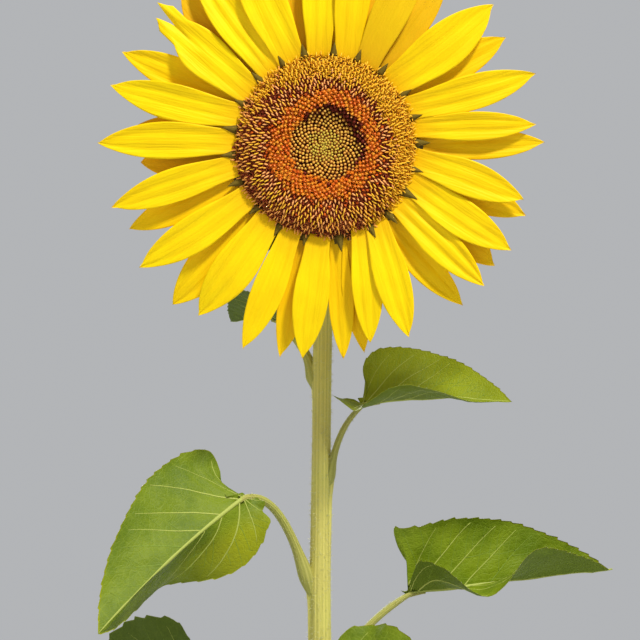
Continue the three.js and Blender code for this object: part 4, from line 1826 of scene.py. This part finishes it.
@dataclass(frozen=True)
class RayShape:
    """The outline and the pleats that all rays share."""

    root_share: float = 0.66
    widest: float = 0.5
    closing: float = 0.86
    fork_width: float = 8.6
    fork_depth: float = 0.23
    fork_gap: float = 0.42
    fork_slope: float = 0.08
    thickness: float = 0.36
    tip: float = 0.22
    cup: float = 0.1
    fold: float = 0.75
    second_fold: float = 0.65
    fold_width: float = 0.2
    pleat: float = 0.04
    rows: int = 40
    columns: int = 19

    def half_width(self, ray: Ray, u: Array) -> Array:
        """Half the ray's width.

        Args:
            ray: Which ray.
            u: How far along it, from 0 to 1.

        Returns:
            The half-width there.
        """
        opening = self.root_share + (1.0 - self.root_share) * smooth(u, 0.0, self.widest)
        past = np.maximum(0.0, u - self.widest) / (1.0 - self.widest)
        closing = np.maximum(0.0, 1.0 - past**2.1) ** self.closing
        tip = self.tip + (self.fork_width - self.tip) * ray.cleft
        return np.maximum(tip, ray.width / 2 * opening * closing)

    def surface(self, ray: Ray, whorl: Whorl, seed: int) -> Surface:
        """One ray in the head's own axes.

        Args:
            ray: Which ray.
            whorl: The whorl it belongs to.
            seed: Which chance it is given.

        Returns:
            The ray as a thin slab.
        """
        rng = np.random.default_rng(seed)
        u = (1.0 - (1.0 - np.linspace(0.0, 1.0, self.rows)) ** 1.15)[:, None]
        v = np.linspace(-1.0, 1.0, self.columns)[None, :]
        root, tip = math.radians(ray.root), math.radians(ray.tip)
        start = level_ways(root)[:2] * whorl.root
        along = level_ways(tip)[:2] * ray.reach - start
        across = np.array([-along[1], along[0]]) / np.linalg.norm(along)
        half = self.half_width(ray, u)
        bow = rng.uniform(-1.6, 1.6) * np.sin(math.pi * u)
        centre = rng.uniform(-0.12, 0.12)
        shape = v * half + bow + centre * half * (1 - v * v) * np.sin(math.pi * u)
        gap = np.abs(v) / self.fork_gap
        notch = self.fork_depth * np.maximum(0.0, 1.0 - gap) + self.fork_slope * np.maximum(0.0, gap - 1.0)
        cleft = ray.cleft * notch * smooth(u, 0.3, 1.0)
        nick = 0.012 * smooth(u, 0.85, 1.0) * np.cos(5.0 * v + rng.uniform(0, math.tau))
        reach = u - cleft - nick - 0.06 * ray.cleft * smooth(v, 0.0, 0.5) * smooth(u, 0.4, 1.0)
        x = start[0] + along[0] * reach + across[0] * shape
        y = start[1] + along[1] * reach + across[1] * shape
        turn = math.tan(math.radians(ray.turn)) * smooth(u, 0.0, self.widest)
        wilt = rng.uniform(-1.5, 2.5) * u * u
        lift = whorl.rise * u - (whorl.recurve + wilt) * u * u
        section = half * (self.cup * v * v + turn * v)
        fade = smooth(u, 0.0, 0.25) * (1.0 - 0.75 * smooth(u, 0.7, 1.0))
        first, second = rng.uniform(-0.5, -0.25), rng.uniform(0.2, 0.5)
        fold = self.fold * hump(v, first, self.fold_width)
        fold = fold + self.second_fold * hump(v, second, self.fold_width)
        fold = self.pleat * np.cos(9.0 * v + seed) - fold
        pleat = ray.pleats * fold * fade * (0.5 + 0.5 * ray.width / 24.0)
        roll = ray.curl * half * np.abs(v) ** 3 * smooth(u, 0.3, 0.9)
        ease = 0.35 * ripple(u * 1.6 + v * 0.1, v * 0.4, float(seed)) * smooth(u, 0.1, 0.5)
        z = whorl.root_height + lift + section + pleat + roll + ease
        thin = self.thickness / 2 * (1.0 - 0.5 * np.abs(v) ** 4)
        marks = together(u, v * half / 12.0, 0.0)
        made = thin_slab(together(x, y, z + thin), together(x, y, z - thin), marks)
        spots = (hump(u, 0.8, 0.16) * (1 - 0.5 * v * v) * ray.stain).ravel()
        # The tones: painted shadow, the brown stain spots and painted shade.
        made.tones = np.tile(together(ray.painted_shadow, spots, ray.shade), (2, 1))
        return made


@dataclass(frozen=True)
class RayWhorls:
    """All the rays: the front ones are a piece each, and the back ones one piece together."""

    head: Head
    shape: RayShape = RayShape()

    def build(self, finish: Material) -> None:
        """Makes the rays.

        Args:
            finish: Their finish.
        """
        for i, ray in enumerate(FRONT_RAYS, start=1):
            surface = self.shape.surface(ray, FRONT_WHORL, i)
            self.head.make(f"Front ray {i}", surface, finish, Slot.RAY, f"ray_front_{i:02d}")
        parts = [self.shape.surface(ray, BACK_WHORL, 40 + i) for i, ray in enumerate(BACK_RAYS)]
        self.head.make("Back rays", Surface.joined(parts), finish, Slot.RAY, "ray_back_whorl")


# ---- seed disc


class Floret(Enum):
    """The stages a disc floret goes through, from the centre out."""

    BUD = 0
    # DARK: maroon buds, whose ring widens on the sun side into a painted shadow inside the recess.
    DARK = 1
    POLLEN = 2
    OPEN = 3
    SPENT = 4


@dataclass(frozen=True)
class Stance:
    """How one kind of floret part is set: its outward lean, how deep it sits and its size."""

    splay: float = 0.0
    sink: float = 0.0
    size: float = 1.0
    toss: float = 0.06


# Maroon buds also paint the shadow inside the recess; yellow tubes, lobes and stigmas also paint the sunlit
# side of the spent ring, and maroon tubes, brown lobes and tawny stigmas its painted shaded side; rim scales
# are painted shade between the rays.
DISC_SHADES = {
    "Bud bodies": (184, 116, 42),
    "Green bud tips": (214, 190, 70),
    "Olive bud tips": (238, 192, 78),
    "Tan bud tips": (236, 180, 78),
    "Maroon buds": (112, 36, 16),
    "Anther columns": (130, 46, 18),
    "Orange tubes": (222, 104, 14),
    "Orange lobes": (246, 132, 18),
    "Orange pollen": (252, 144, 24),
    "Bright pollen": (255, 170, 44),
    "Deep pollen": (234, 110, 18),
    "Maroon tubes": (150, 58, 22),
    "Maroon lobes": (178, 80, 34),
    "Brown lobes": (204, 116, 50),
    "Yellow tubes": (228, 152, 18),
    "Yellow lobes": (248, 184, 28),
    "Peach stigmas": (250, 176, 98),
    "Gold stigmas": (248, 180, 56),
    "Yellow stigmas": (250, 194, 42),
    "Tawny stigmas": (238, 164, 74),
    "Chaff": (92, 36, 14),
    "Rim scales": (110, 90, 18),
    "Disc bed": (96, 48, 18),
}


@dataclass(frozen=True)
class SeedDisc:
    """The disc: a bed with florets on it in a golden-angle spiral, each stage a kind."""

    head: Head
    count: int = 1700
    crowding: float = 0.6
    crown: tuple[tuple[float, float], ...] = (
        (0, 4.6), (12, 4.9), (19.0, 6.0), (22.5, 9.6), (27.5, 11.5), (44.0, 10.8), (52.0, 7.2), (55.5, 3.6),
        (58.5, 1.6),
    )
    blur: float = 1.6
    bud_edge: float = 20.8
    # shadow_side is the side the light comes from: the painted shadow inside the recess and the painted
    # sunlit spent florets lie there.
    shadow_side: float = 45.0
    sunlit_from: float = -0.2
    pollen_edge: float = 34.0
    open_edge: float = 50.0
    sunny_gain: float = 7.0
    scale_width: float = 6.0
    scale_length: float = 9.6
    scale_inset: float = 1.2
    scale_height: float = 2.2
    bed_depth: float = 4.2
    rim: float = 56.2
    roughness: float = 0.65
    dull: dict[str, float] = field(default_factory=lambda: {"Rim scales": 0.9, "Disc bed": 0.85})

    def height(self, radius: Array) -> Array:
        """The height of the florets' tips above the rim, at distances from the disc's centre."""
        blur = np.linspace(-self.blur, self.blur, 7)
        return np.mean([np.interp(np.abs(radius + b), *zip(*self.crown)) for b in blur], axis=0)

    def spiral(self, rng: Chance) -> tuple[Array, Array, Array]:
        """Where the florets stand.

        Args:
            rng: The seeded chance.

        Returns:
            Their distances from the centre, their angles and their stages.
        """
        n = np.arange(self.count)
        radius = self.rim * ((n + 0.5) / self.count) ** self.crowding
        radius = radius + rng.normal(0.4, 0.9, self.count) * smooth(radius, 47.0, self.rim)
        angle = n * GOLDEN_ANGLE
        aged = radius + rng.normal(0.0, 0.8, self.count) + 0.9 * np.sin(3 * angle + 0.7)
        # toward_sun is one on the side the light comes from: there the dark ring widens into a painted shadow
        # inside the recess, and the spent ring, painted sunlit, reaches further in.
        toward_sun = 0.5 + 0.5 * np.cos(angle - math.radians(self.shadow_side))
        edges = [
            np.full(self.count, self.bud_edge),
            self.bud_edge + 0.4 + 4.6 * smooth(toward_sun, 0.35, 1.0),
            self.pollen_edge + 1.2 * np.sin(2 * angle),
            self.open_edge - self.sunny_gain * smooth(toward_sun, 0.45, 1.0) + rng.normal(0.0, 1.6, self.count),
        ]
        return radius, angle, np.sum([aged > edge for edge in edges], axis=0)

    def stance(self, radius: Array, angle: Array, splay: float) -> tuple[Array, Array]:
        """Which way florets stand.

        Args:
            radius: Their distances from the centre.
            angle: Their angles.
            splay: Extra lean outwards, as a slope.

        Returns:
            Their places at the tips' height, and their axes.
        """
        slope = (self.height(radius + 0.5) - self.height(radius - 0.5)) * 0.75
        slope = np.where(radius < self.bud_edge + 3.0, slope * 0.5, slope)
        out = level_ways(angle)
        places = out * radius[:, None] + Z_AXIS * self.height(radius)[:, None]
        return places, unit(out * (splay - slope)[:, None] + Z_AXIS)

    @staticmethod
    def arm(curl: float, length: float, width: float, steps: int = 6, sides: int = 5) -> Surface:
        """One style branch, curled back on itself.

        Args:
            curl: How far it turns, in radians.
            length: Its length.
            width: Its half-width.
            steps: How many rings it has.
            sides: How many sides it has.

        Returns:
            The branch, which leaves along +Z and curls towards +X.
        """
        t = np.linspace(0.0, 1.0, steps)
        turn = 0.5 + curl * t
        step = together(np.sin(turn), 0.0, np.cos(turn)) * length / (steps - 1)
        centre = np.cumsum(step, axis=0) - step
        size = width * (1.0 - 0.35 * t**2)
        normal = together(np.cos(turn), 0.0, -np.sin(turn))
        across = np.array([0.0, 1.0, 0.0])
        ring = ways_round(normal[:, None, :], across, turns(sides)) * size[:, None, None]
        return capped_tube(centre[:, None, :] + ring)

    def style(self, curl: float, length: float, width: float) -> Surface:
        """A style with both branches curled back, one out and one in.

        Args:
            curl: How far each branch turns, in radians.
            length: Each branch's length.
            width: Each branch's half-width.

        Returns:
            The two branches and the stalk under them.
        """
        near = self.arm(curl, length, width)
        far = self.arm(curl, length * 0.4, width * 0.8)
        turned = far.points * [-1, -1, 1]
        stalk = turned_solid([(width * 0.9, -1.6), (width * 1.1, 0.1), (0.0, 0.4)], 5)
        return Surface.joined([near, Surface(turned, far.quads, far.tris), stalk])

    @staticmethod
    def corolla(spread: float, foot: float = 0.62) -> Surface:
        """The five pointed lobes at the mouth of a floret's tube.

        Args:
            spread: How far the lobes lean out.
            foot: The radius of the mouth.

        Returns:
            The lobes, about the tube's mouth.
        """
        parts = []
        for k in range(5):
            out, side = level_ways(np.array([0.0, math.pi / 2]) + k * math.tau / 5)
            rings = []
            for share, wide, thick in ((0.0, 0.42, 0.12), (0.5, 0.36, 0.12), (1.0, 0.04, 0.04)):
                centre = out * (foot + spread * 1.25 * share) + Z_AXIS * (0.95 * share - 0.25 * share**2)
                rings.append([centre + way for way in (side * wide, out * thick, -side * wide, -out * thick)])
            parts.append(capped_tube(np.array(rings)))
        return Surface.joined(parts)

    @staticmethod
    def tuft(rng: Chance, grains: int = 16) -> Surface:
        """A lump of pollen on an anther tube, with grains sticking out of it.

        Args:
            rng: The seeded chance.
            grains: How many grains stick out.

        Returns:
            The tuft about its own foot.
        """
        profile = [(0.0, -0.7), (0.6, -0.3), (0.72, 0.35), (0.5, 0.9), (0.0, 1.15)]
        lump = turned_solid(profile, 7, 0.25)
        ways = unit(rng.normal(size=(grains, 3)) + Z_AXIS * 0.5)
        grain = turned_solid([(0.17, 0.0), (0.15, 0.4), (0.0, 0.72)], 3)
        places, frames = ways * 0.5 + Z_AXIS * 0.3, frames_about(ways, np.zeros(grains))
        return Surface.joined([lump, scattered(grain, places, frames, np.ones((grains, 3)))])

    def kinds(self, rng: Chance) -> dict[str, Surface]:
        """Every kind of small thing on the disc, joined by kind.

        Args:
            rng: The seeded chance.

        Returns:
            The joined surfaces by name, in the head's own axes.
        """
        radius, angle, level = self.spiral(rng)
        made: dict[str, list[Surface]] = {}
        out = level_ways(angle)
        nudge = rng.normal(0.0, 0.18, (self.count, 3))
        heave = rng.normal(0.0, 0.28, self.count)

        def deal(name: str, template: Surface, chosen: Array, stance: Stance) -> None:
            """Stands one template on the chosen florets.

            Args:
                name: What kind of small thing it is.
                template: The thing about its own foot.
                chosen: Which florets get one.
                stance: How they are set.
            """
            count = int(chosen.sum())
            splay = stance.splay * smooth(radius[chosen], 18.0, 56.0)
            places, axes = self.stance(radius[chosen], angle[chosen], splay)
            axes = unit(axes + rng.normal(0.0, stance.toss, (count, 3)))
            places = places + nudge[chosen] - axes * (stance.sink + heave[chosen])[:, None]
            frames = frames_about(axes, rng.normal(0.0, 0.3, count), out[chosen])
            sizes = stance.size * rng.uniform(0.88, 1.14, (count, 1)) * np.ones(3)
            made.setdefault(name, []).append(scattered(template, places, frames, sizes))

        bud, dark, pollen, opened, spent = (level == stage.value for stage in Floret)
        chance = rng.uniform(size=self.count)
        green = bud & (radius + 4.0 * chance < 12.5)
        cap = turned_solid([(0.0, -1.3), (0.76, -0.9), (0.82, -0.35), (0.55, 0.25), (0.0, 0.55)], 10, 0.24)
        body = turned_solid([(0.8, -5.0), (1.06, -2.0), (1.08, -1.1), (0.8, -0.6), (0.0, -0.4)], 10, 0.12)
        deal("Bud bodies", body, bud, Stance())
        deal("Green bud tips", cap, green, Stance(size=0.98))
        deal("Olive bud tips", cap, bud & ~green & (chance < 0.72), Stance())
        deal("Tan bud tips", cap, bud & ~green & (chance >= 0.72), Stance(size=1.02))
        # The maroon buds' ring is painted shadow where it widens on the sun side.
        deal("Maroon buds", body, dark, Stance(sink=0.2, size=1.06))
        deal("Maroon buds", cap, dark & (chance < 0.7), Stance(sink=0.5))
        deal("Olive bud tips", cap, dark & (chance >= 0.7), Stance(sink=0.6, size=0.9))

        column = turned_solid([(0.55, -6.5), (0.6, -1.4), (0.62, 0.3), (0.42, 0.95), (0.0, 1.15)], 7)
        tube = turned_solid([(0.66, -6.0), (0.8, -2.4), (0.98, -0.5), (0.7, -0.1)], 8)
        deal("Anther columns", column, pollen, Stance(0.05, 1.5))
        deal("Orange tubes", tube, pollen, Stance(0.05, 2.2))
        deal("Orange lobes", self.corolla(0.85), pollen, Stance(0.05, 2.4, 1.05))
        for k in range(5):
            share = pollen & (np.floor(chance * 5) == k)
            name = "Deep pollen" if k == 4 else ("Bright pollen" if k < 2 else "Orange pollen")
            deal(name, self.tuft(rng), share, Stance(0.08, 0.8, 1.12))
        point = turned_solid([(0.3, -0.8), (0.36, 0.2), (0.0, 0.62)], 6)
        peach = (pollen | dark) & (chance > 0.4) & (radius > 24.0)
        deal("Peach stigmas", point, peach, Stance(0.1, -0.35, 1.0))

        # Spent florets towards the light are painted sunlit, in yellow, and the rest painted shaded, in
        # maroon, brown and tawny.
        sunlit = np.cos(angle - math.radians(self.shadow_side)) + rng.normal(0.0, 0.3, self.count)
        sunny, shady = spent & (sunlit > self.sunlit_from), spent & (sunlit <= self.sunlit_from)
        deal("Anther columns", column, opened | shady, Stance(0.35, 1.5, 1.1))
        deal("Maroon tubes", tube, opened, Stance(0.35, 2.7, 1.15))
        deal("Maroon lobes", self.corolla(0.9), opened, Stance(0.35, 2.6, 1.2))
        wide, slim = self.style(1.9, 2.5, 0.5), self.style(1.2, 2.4, 0.42)
        knob = self.style(3.0, 2.1, 0.52)
        inner = opened & (radius + 5.0 * rng.normal(size=self.count) < 40.0)
        outer = opened & ~inner
        deal("Peach stigmas", knob, inner & (chance < 0.55), Stance(0.3, 0.7))
        deal("Gold stigmas", knob, inner & (chance >= 0.55) & (chance < 0.85), Stance(0.3, 0.7))
        deal("Deep pollen", self.tuft(rng), inner & (chance >= 0.85), Stance(0.3, 1.0, 0.9))
        deal("Gold stigmas", wide, outer & (chance < 0.5), Stance(0.45, 0.8, 1.06))
        deal("Yellow stigmas", slim, outer & (chance >= 0.5) & (chance < 0.78), Stance(0.5, 0.6, 1.05))
        deal("Peach stigmas", wide, outer & (chance >= 0.78) & (chance < 0.94), Stance(0.45, 0.8))
        deal("Yellow tubes", tube, sunny, Stance(0.7, 2.0, 1.05))
        deal("Yellow lobes", self.corolla(1.15), sunny, Stance(0.75, 1.2, 1.35))
        deal("Yellow stigmas", slim, sunny & (chance < 0.85), Stance(0.85, 0.1))
        deal("Maroon tubes", tube, shady, Stance(0.7, 2.3, 1.05))
        deal("Brown lobes", self.corolla(1.1), shady, Stance(0.75, 1.9, 1.25))
        deal("Tawny stigmas", slim, shady & (chance < 0.85), Stance(0.8, 0.4))
        chaff = turned_solid([(0.3, -5.0), (0.42, -2.0), (0.2, -0.4), (0.0, 0.5)], 4)
        apart = level > Floret.DARK.value
        between = np.minimum(radius[apart] + 1.3, 54.5)
        places, axes = self.stance(between, angle[apart] + GOLDEN_ANGLE / 2, 0.1)
        frames = frames_about(axes, np.zeros(len(places)))
        made["Chaff"] = [scattered(chaff, places - axes * 2.2, frames, np.ones((len(places), 3)))]
        return {name: Surface.joined(parts) for name, parts in made.items()}

    def scales(self, rng: Chance) -> Surface:
        """The pointed scales that show at the rim between the rays, dark as painted shade in the gaps.

        Args:
            rng: The seeded chance.

        Returns:
            All scales, in the head's own axes.
        """
        roots = np.array([ray.root for ray in FRONT_RAYS], dtype=float)
        angles = np.radians(roots + np.append(roots[1:], roots[0] + 360.0)) / 2
        angles = angles + rng.normal(0.0, 0.012, len(angles))
        share = np.linspace(0.0, 1.0, 6)[:, None]
        half = (self.scale_width / 2 * (1.0 - share) ** 0.9 + 0.04) * [1.0, 0.0, -1.0, 0.0]
        lift = 2.4 * share - 0.9 * share**2 + [0.0, 0.35, 0.0, -0.2]
        scale = capped_tube(together(share * self.scale_length, half, lift))
        out = level_ways(angles)
        frames = frames_about(np.broadcast_to(Z_AXIS, out.shape), np.zeros(len(angles)), out)
        places = out * (self.rim - self.scale_inset) + Z_AXIS * self.scale_height
        return scattered(scale, places, frames, rng.uniform(0.75, 1.15, (len(angles), 1)) * np.ones(3))

    def bed(self) -> Surface:
        """The bed the florets stand on."""
        radii = np.linspace(0.0, self.head.disc_radius - 1.2, 22)
        top = list(zip(radii, self.height(radii) - self.bed_depth))
        rim = self.head.disc_radius - 0.8
        return turned_solid([(0.0, -0.5), (rim, -0.5), (rim, 0.0), *reversed(top)], 96)

    def build(self, rng: Chance) -> None:
        """Makes the disc.

        Args:
            rng: The seeded chance.
        """
        made = {**self.kinds(rng), "Rim scales": self.scales(rng), "Disc bed": self.bed()}
        for name, surface in made.items():
            rough = self.dull.get(name, self.roughness)
            finish = PlainFinish(name, paint(*DISC_SHADES[name]), rough).build()
            self.head.make(name, surface, finish, Slot.DISC, "seed_disc")


# ---- receptacle and bracts


@dataclass(frozen=True)
class BractRow:
    """One row of bracts round the receptacle."""

    count: int
    radius: float
    height: float
    length: float
    width: float
    rise: float
    bend: float
    offset: float


@dataclass(frozen=True)
class Receptacle:
    """The green cup behind the flower, with its rows of pointed bracts."""

    head: Head
    flank: tuple[tuple[float, float], ...] = ((0, -4), (6, -10), (20, -18.5), (36, -27))
    neck_step: float = 0.4
    rows: tuple[BractRow, ...] = (
        BractRow(21, 55.0, -7.5, 30.0, 13.5, 14.0, -34.0, 0.0),
        BractRow(21, 50.0, -12.5, 34.0, 14.0, 4.0, -30.0, 0.5),
        BractRow(17, 42.0, -17.5, 37.0, 13.0, -8.0, -34.0, 0.2),
    )
    cup_rings: int = 44
    cup_sides: int = 120
    ribs: int = 30
    rib_depth: float = 0.012
    bract_rows: int = 15
    bract_columns: int = 9
    bract_tip: float = 0.12
    bract_thickness: float = 0.7
    hair_count: int = 1500

    def cup(self) -> Surface:
        """The receptacle's outside and its shelf."""
        shelf, neck = self.head.shelf, self.head.stem.neck_radius + self.neck_step
        side = [(shelf - d, h) for d, h in reversed(self.flank)]
        flank = [(neck, self.head.back - 1.0), *side, (shelf, -0.3)]
        r, z = np.array(flank).T
        run = np.concatenate([[0.0], np.cumsum(np.hypot(np.diff(r), np.diff(z)))])
        fine = np.linspace(0.0, run[-1], self.cup_rings)
        radii, heights = np.interp(fine, run, r), np.interp(fine, run, z)
        for values in (radii, heights):
            values[2:-2] = np.convolve(values, np.ones(5) / 5, "valid")
        angle = turns(self.cup_sides)
        ribbed = 1.0 + self.rib_depth * np.cos(self.ribs * angle) * smooth(radii, neck, 50.0)[:, None]
        radius = radii[:, None] * ribbed
        rings = together(radius * np.cos(angle), radius * np.sin(angle), heights[:, None])
        return capped_tube(rings, together(fine[:, None] / run[-1], angle * 3, 0.0))

    def bract(self, row: BractRow, k: int, rng: Chance) -> tuple[Surface, Array, Array]:
        """One bract.

        Args:
            row: The row it stands in.
            k: Which one in the row.
            rng: The seeded chance.

        Returns:
            The bract, and the points and ways out for the hairs on its margin.
        """
        angle = (k + row.offset) * math.tau / row.count + rng.uniform(-0.05, 0.05)
        length = row.length * rng.uniform(0.88, 1.1)
        u = np.linspace(0.0, 1.0, self.bract_rows)
        slope = math.radians(row.rise + rng.uniform(-5, 5))
        bend = math.radians(row.bend + rng.uniform(-14, 14))
        run, climb, facing = bent(slope, bend / length, u * length)
        half = row.width / 2 * rng.uniform(0.9, 1.08) * (1.0 - smooth(u, 0.12, 1.05)) ** 1.15
        half = half + 0.75 * (1 - u) + self.bract_tip
        v = np.linspace(-1.0, 1.0, self.bract_columns)[None, :]
        side = v * half[:, None]
        sway = rng.uniform(-3.0, 3.0) * u**2
        cup = 0.5 * hump(v, 0.0, 0.16) - 0.16 * v**2 * half[:, None]
        twist = rng.uniform(-0.25, 0.25) * u[:, None] * side

        def world(lift: float) -> Array:
            """The bract's grid at a height off its middle surface."""
            off = cup + twist + lift
            radial = row.radius + run[:, None] - off * np.sin(facing)[:, None]
            height = row.height + climb[:, None] + off * np.cos(facing)[:, None]
            return turned_about_z(together(radial, side + sway[:, None], height), math.degrees(angle))

        marks = together(u[:, None], v, 0.0)
        upper, lower = world(self.bract_thickness / 2), world(-self.bract_thickness / 2)
        edge = np.concatenate([upper[1:-1, 0], upper[1:-1, -1]])
        inner = np.concatenate([upper[1:-1, 1], upper[1:-1, -2]])
        return thin_slab(upper, lower, marks), edge, unit(edge - inner)

    def build(self, effects: Effects, hair: Material, rng: Chance) -> None:
        """Makes the cup, the bracts and their hairs.

        Args:
            effects: The shared node groups.
            hair: The hairs' finish.
            rng: The seeded chance.
        """
        # The receptacle's far end, the shelf at its rim, turns dark brown: painted shade seen in the gaps
        # between the ray roots.
        shades = paint(112, 130, 50), paint(78, 100, 32), paint(86, 66, 18)
        green = TissueFinish("Receptacle", *shades, tip_from=0.86, tip_share=0.9).build(effects)
        self.head.make("Receptacle", self.cup(), green, Slot.RECEPTACLE, "receptacle")
        grown = [self.bract(row, k, rng) for row in self.rows for k in range(row.count)]
        parts, edges, ways = zip(*grown)
        shades = paint(98, 108, 30), paint(68, 80, 18), paint(112, 116, 36)
        leafy = TissueFinish("Bract", *shades).build(effects)
        self.head.make("Bracts", Surface.joined(parts), leafy, Slot.BRACT, "bract_ring")
        roots = self.head.placed(np.concatenate(edges))
        out = self.head.placed(np.concatenate(ways)) - self.head.placed(np.zeros(3))
        chosen = rng.choice(len(roots), self.hair_count)
        jitter = 0.3 * rng.normal(0.0, 0.5, (self.hair_count, 3))
        fringe = HairKind(0.7, 1.9, 0.07).grown(roots[chosen] + jitter, out[chosen], rng)
        make_piece("Bract hairs", fringe, hair, "bract_ring")


# ---- plant and studio


@dataclass(frozen=True)
class Foliage:
    """All the leaves: a petiole and a blade each, and their hairs together."""

    stem: Stem

    def build(self, effects: Effects, hair: Material, rng: Chance) -> None:
        """Makes the leaves.

        Args:
            effects: The shared node groups.
            hair: The hairs' finish.
            rng: The seeded chance.
        """
        shades = paint(190, 186, 96), paint(146, 150, 58), paint(160, 138, 76)
        stalk = StalkFinish("Petiole skin", *shades, lines=14.0).build(effects)
        blade = LeafFinish().build(effects)
        rib = PlainFinish("Leaf vein", paint(172, 180, 82), 0.6).build()
        rib_small = PlainFinish("Leaf veinlet", paint(126, 148, 46), 0.6).build()
        stalk_hairs, blade_hairs = [], []
        for number, pose in enumerate(self.stem.leaves, start=1):
            stalk_hairs.append(Petiole(pose, self.stem, number).build(stalk, rng))
            blade_hairs.append(LeafBlade(pose, self.stem, number).build(blade, rib, rib_small, rng))
        make_piece("Petiole hairs", Surface.joined(stalk_hairs), hair, "petiole_01")
        make_piece("Leaf hairs", Surface.joined(blade_hairs), hair, "leaf_blade_01")


@dataclass(frozen=True)
class Studio:
    """A pale floor, soft lights and the camera."""

    camera_place: Place = (0.0, -1.685, 1.2027)
    focal_length: float = 145.15
    sensor: float = 36.0
    floor_radius: float = 7.0
    floor_sides: int = 128
    floor_shade: Colour = (0.72, 0.72, 0.71, 1.0)
    air_shade: Colour = (0.90, 0.92, 0.95, 1.0)
    air_strength: float = 0.5

    def lamp(self, name: str, place: Place, aim: Place, size: float, power: float) -> None:
        """Hangs one soft lamp.

        Args:
            name: Its name.
            place: Where it hangs, in metres.
            aim: What it looks at.
            size: The side of its square, in metres.
            power: Its power in watts.
        """
        light = bpy.data.lights.new(name, "AREA")
        light.shape = "SQUARE"
        light.size = size
        light.energy = power
        holder = set_out(name, light)
        holder.location = place
        x, y, z = np.array(aim) - np.array(place)
        holder.rotation_euler = (math.atan2(math.hypot(x, y), -z), 0.0, math.atan2(x, -y) + math.pi)

    def build(self) -> None:
        """Sets up the floor, the lights, the air and the camera."""
        scene = bpy.context.scene
        mesh = bpy.data.meshes.new("Floor")
        rim = level_ways(turns(self.floor_sides)) * self.floor_radius
        mesh.from_pydata(rim, [], [range(self.floor_sides)])
        mesh.materials.append(PlainFinish("Floor", self.floor_shade, 0.8).build())
        set_out("Floor", mesh)
        scene.world = bpy.data.worlds.new("Studio air")
        scene.world.use_nodes = True
        bench = Bench(scene.world.node_tree)
        air = bench.node("ShaderNodeBackground", {"Color": self.air_shade, "Strength": self.air_strength})
        bench.node("ShaderNodeOutputWorld", {"Surface": air.outputs[0]})
        self.lamp("Key", (1.1, -1.85, 3.7), (0.0, -0.05, 1.15), 0.4, 116.0)
        self.lamp("Fill", (-2.2, -1.9, 1.3), (0.0, 0.0, 0.9), 1.8, 4.0)
        self.lamp("Back", (-0.9, 2.4, 2.2), (0.0, 0.0, 1.0), 1.4, 55.0)
        view = bpy.data.cameras.new("Camera")
        view.lens = self.focal_length
        view.sensor_width = self.sensor
        view.clip_start = 0.05
        holder = set_out("Camera", view)
        holder.location = self.camera_place
        holder.rotation_euler = (math.pi / 2, 0.0, 0.0)
        scene.camera = holder
        scene.view_settings.view_transform = "Standard"


def main() -> None:
    """Builds the plant from the foot up, then the studio round it."""
    logging.basicConfig(level=logging.INFO, format="%(name)s: %(message)s")
    rng = np.random.default_rng(20)
    effects = Effects()
    hair = PlainFinish("Hair", paint(214, 214, 168), 0.5).build()
    stem = Stem(leaves=(*UPPER_LEAVES, *LowerLeaves().poses()))
    stem.build(effects, hair, rng)
    Foliage(stem).build(effects, hair, rng)
    head = Head(stem)
    Receptacle(head).build(effects, hair, rng)
    RayWhorls(head).build(RayFinish().build(effects))
    SeedDisc(head).build(rng)
    Studio().build()
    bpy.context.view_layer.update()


if __name__ == "__main__":
    main()
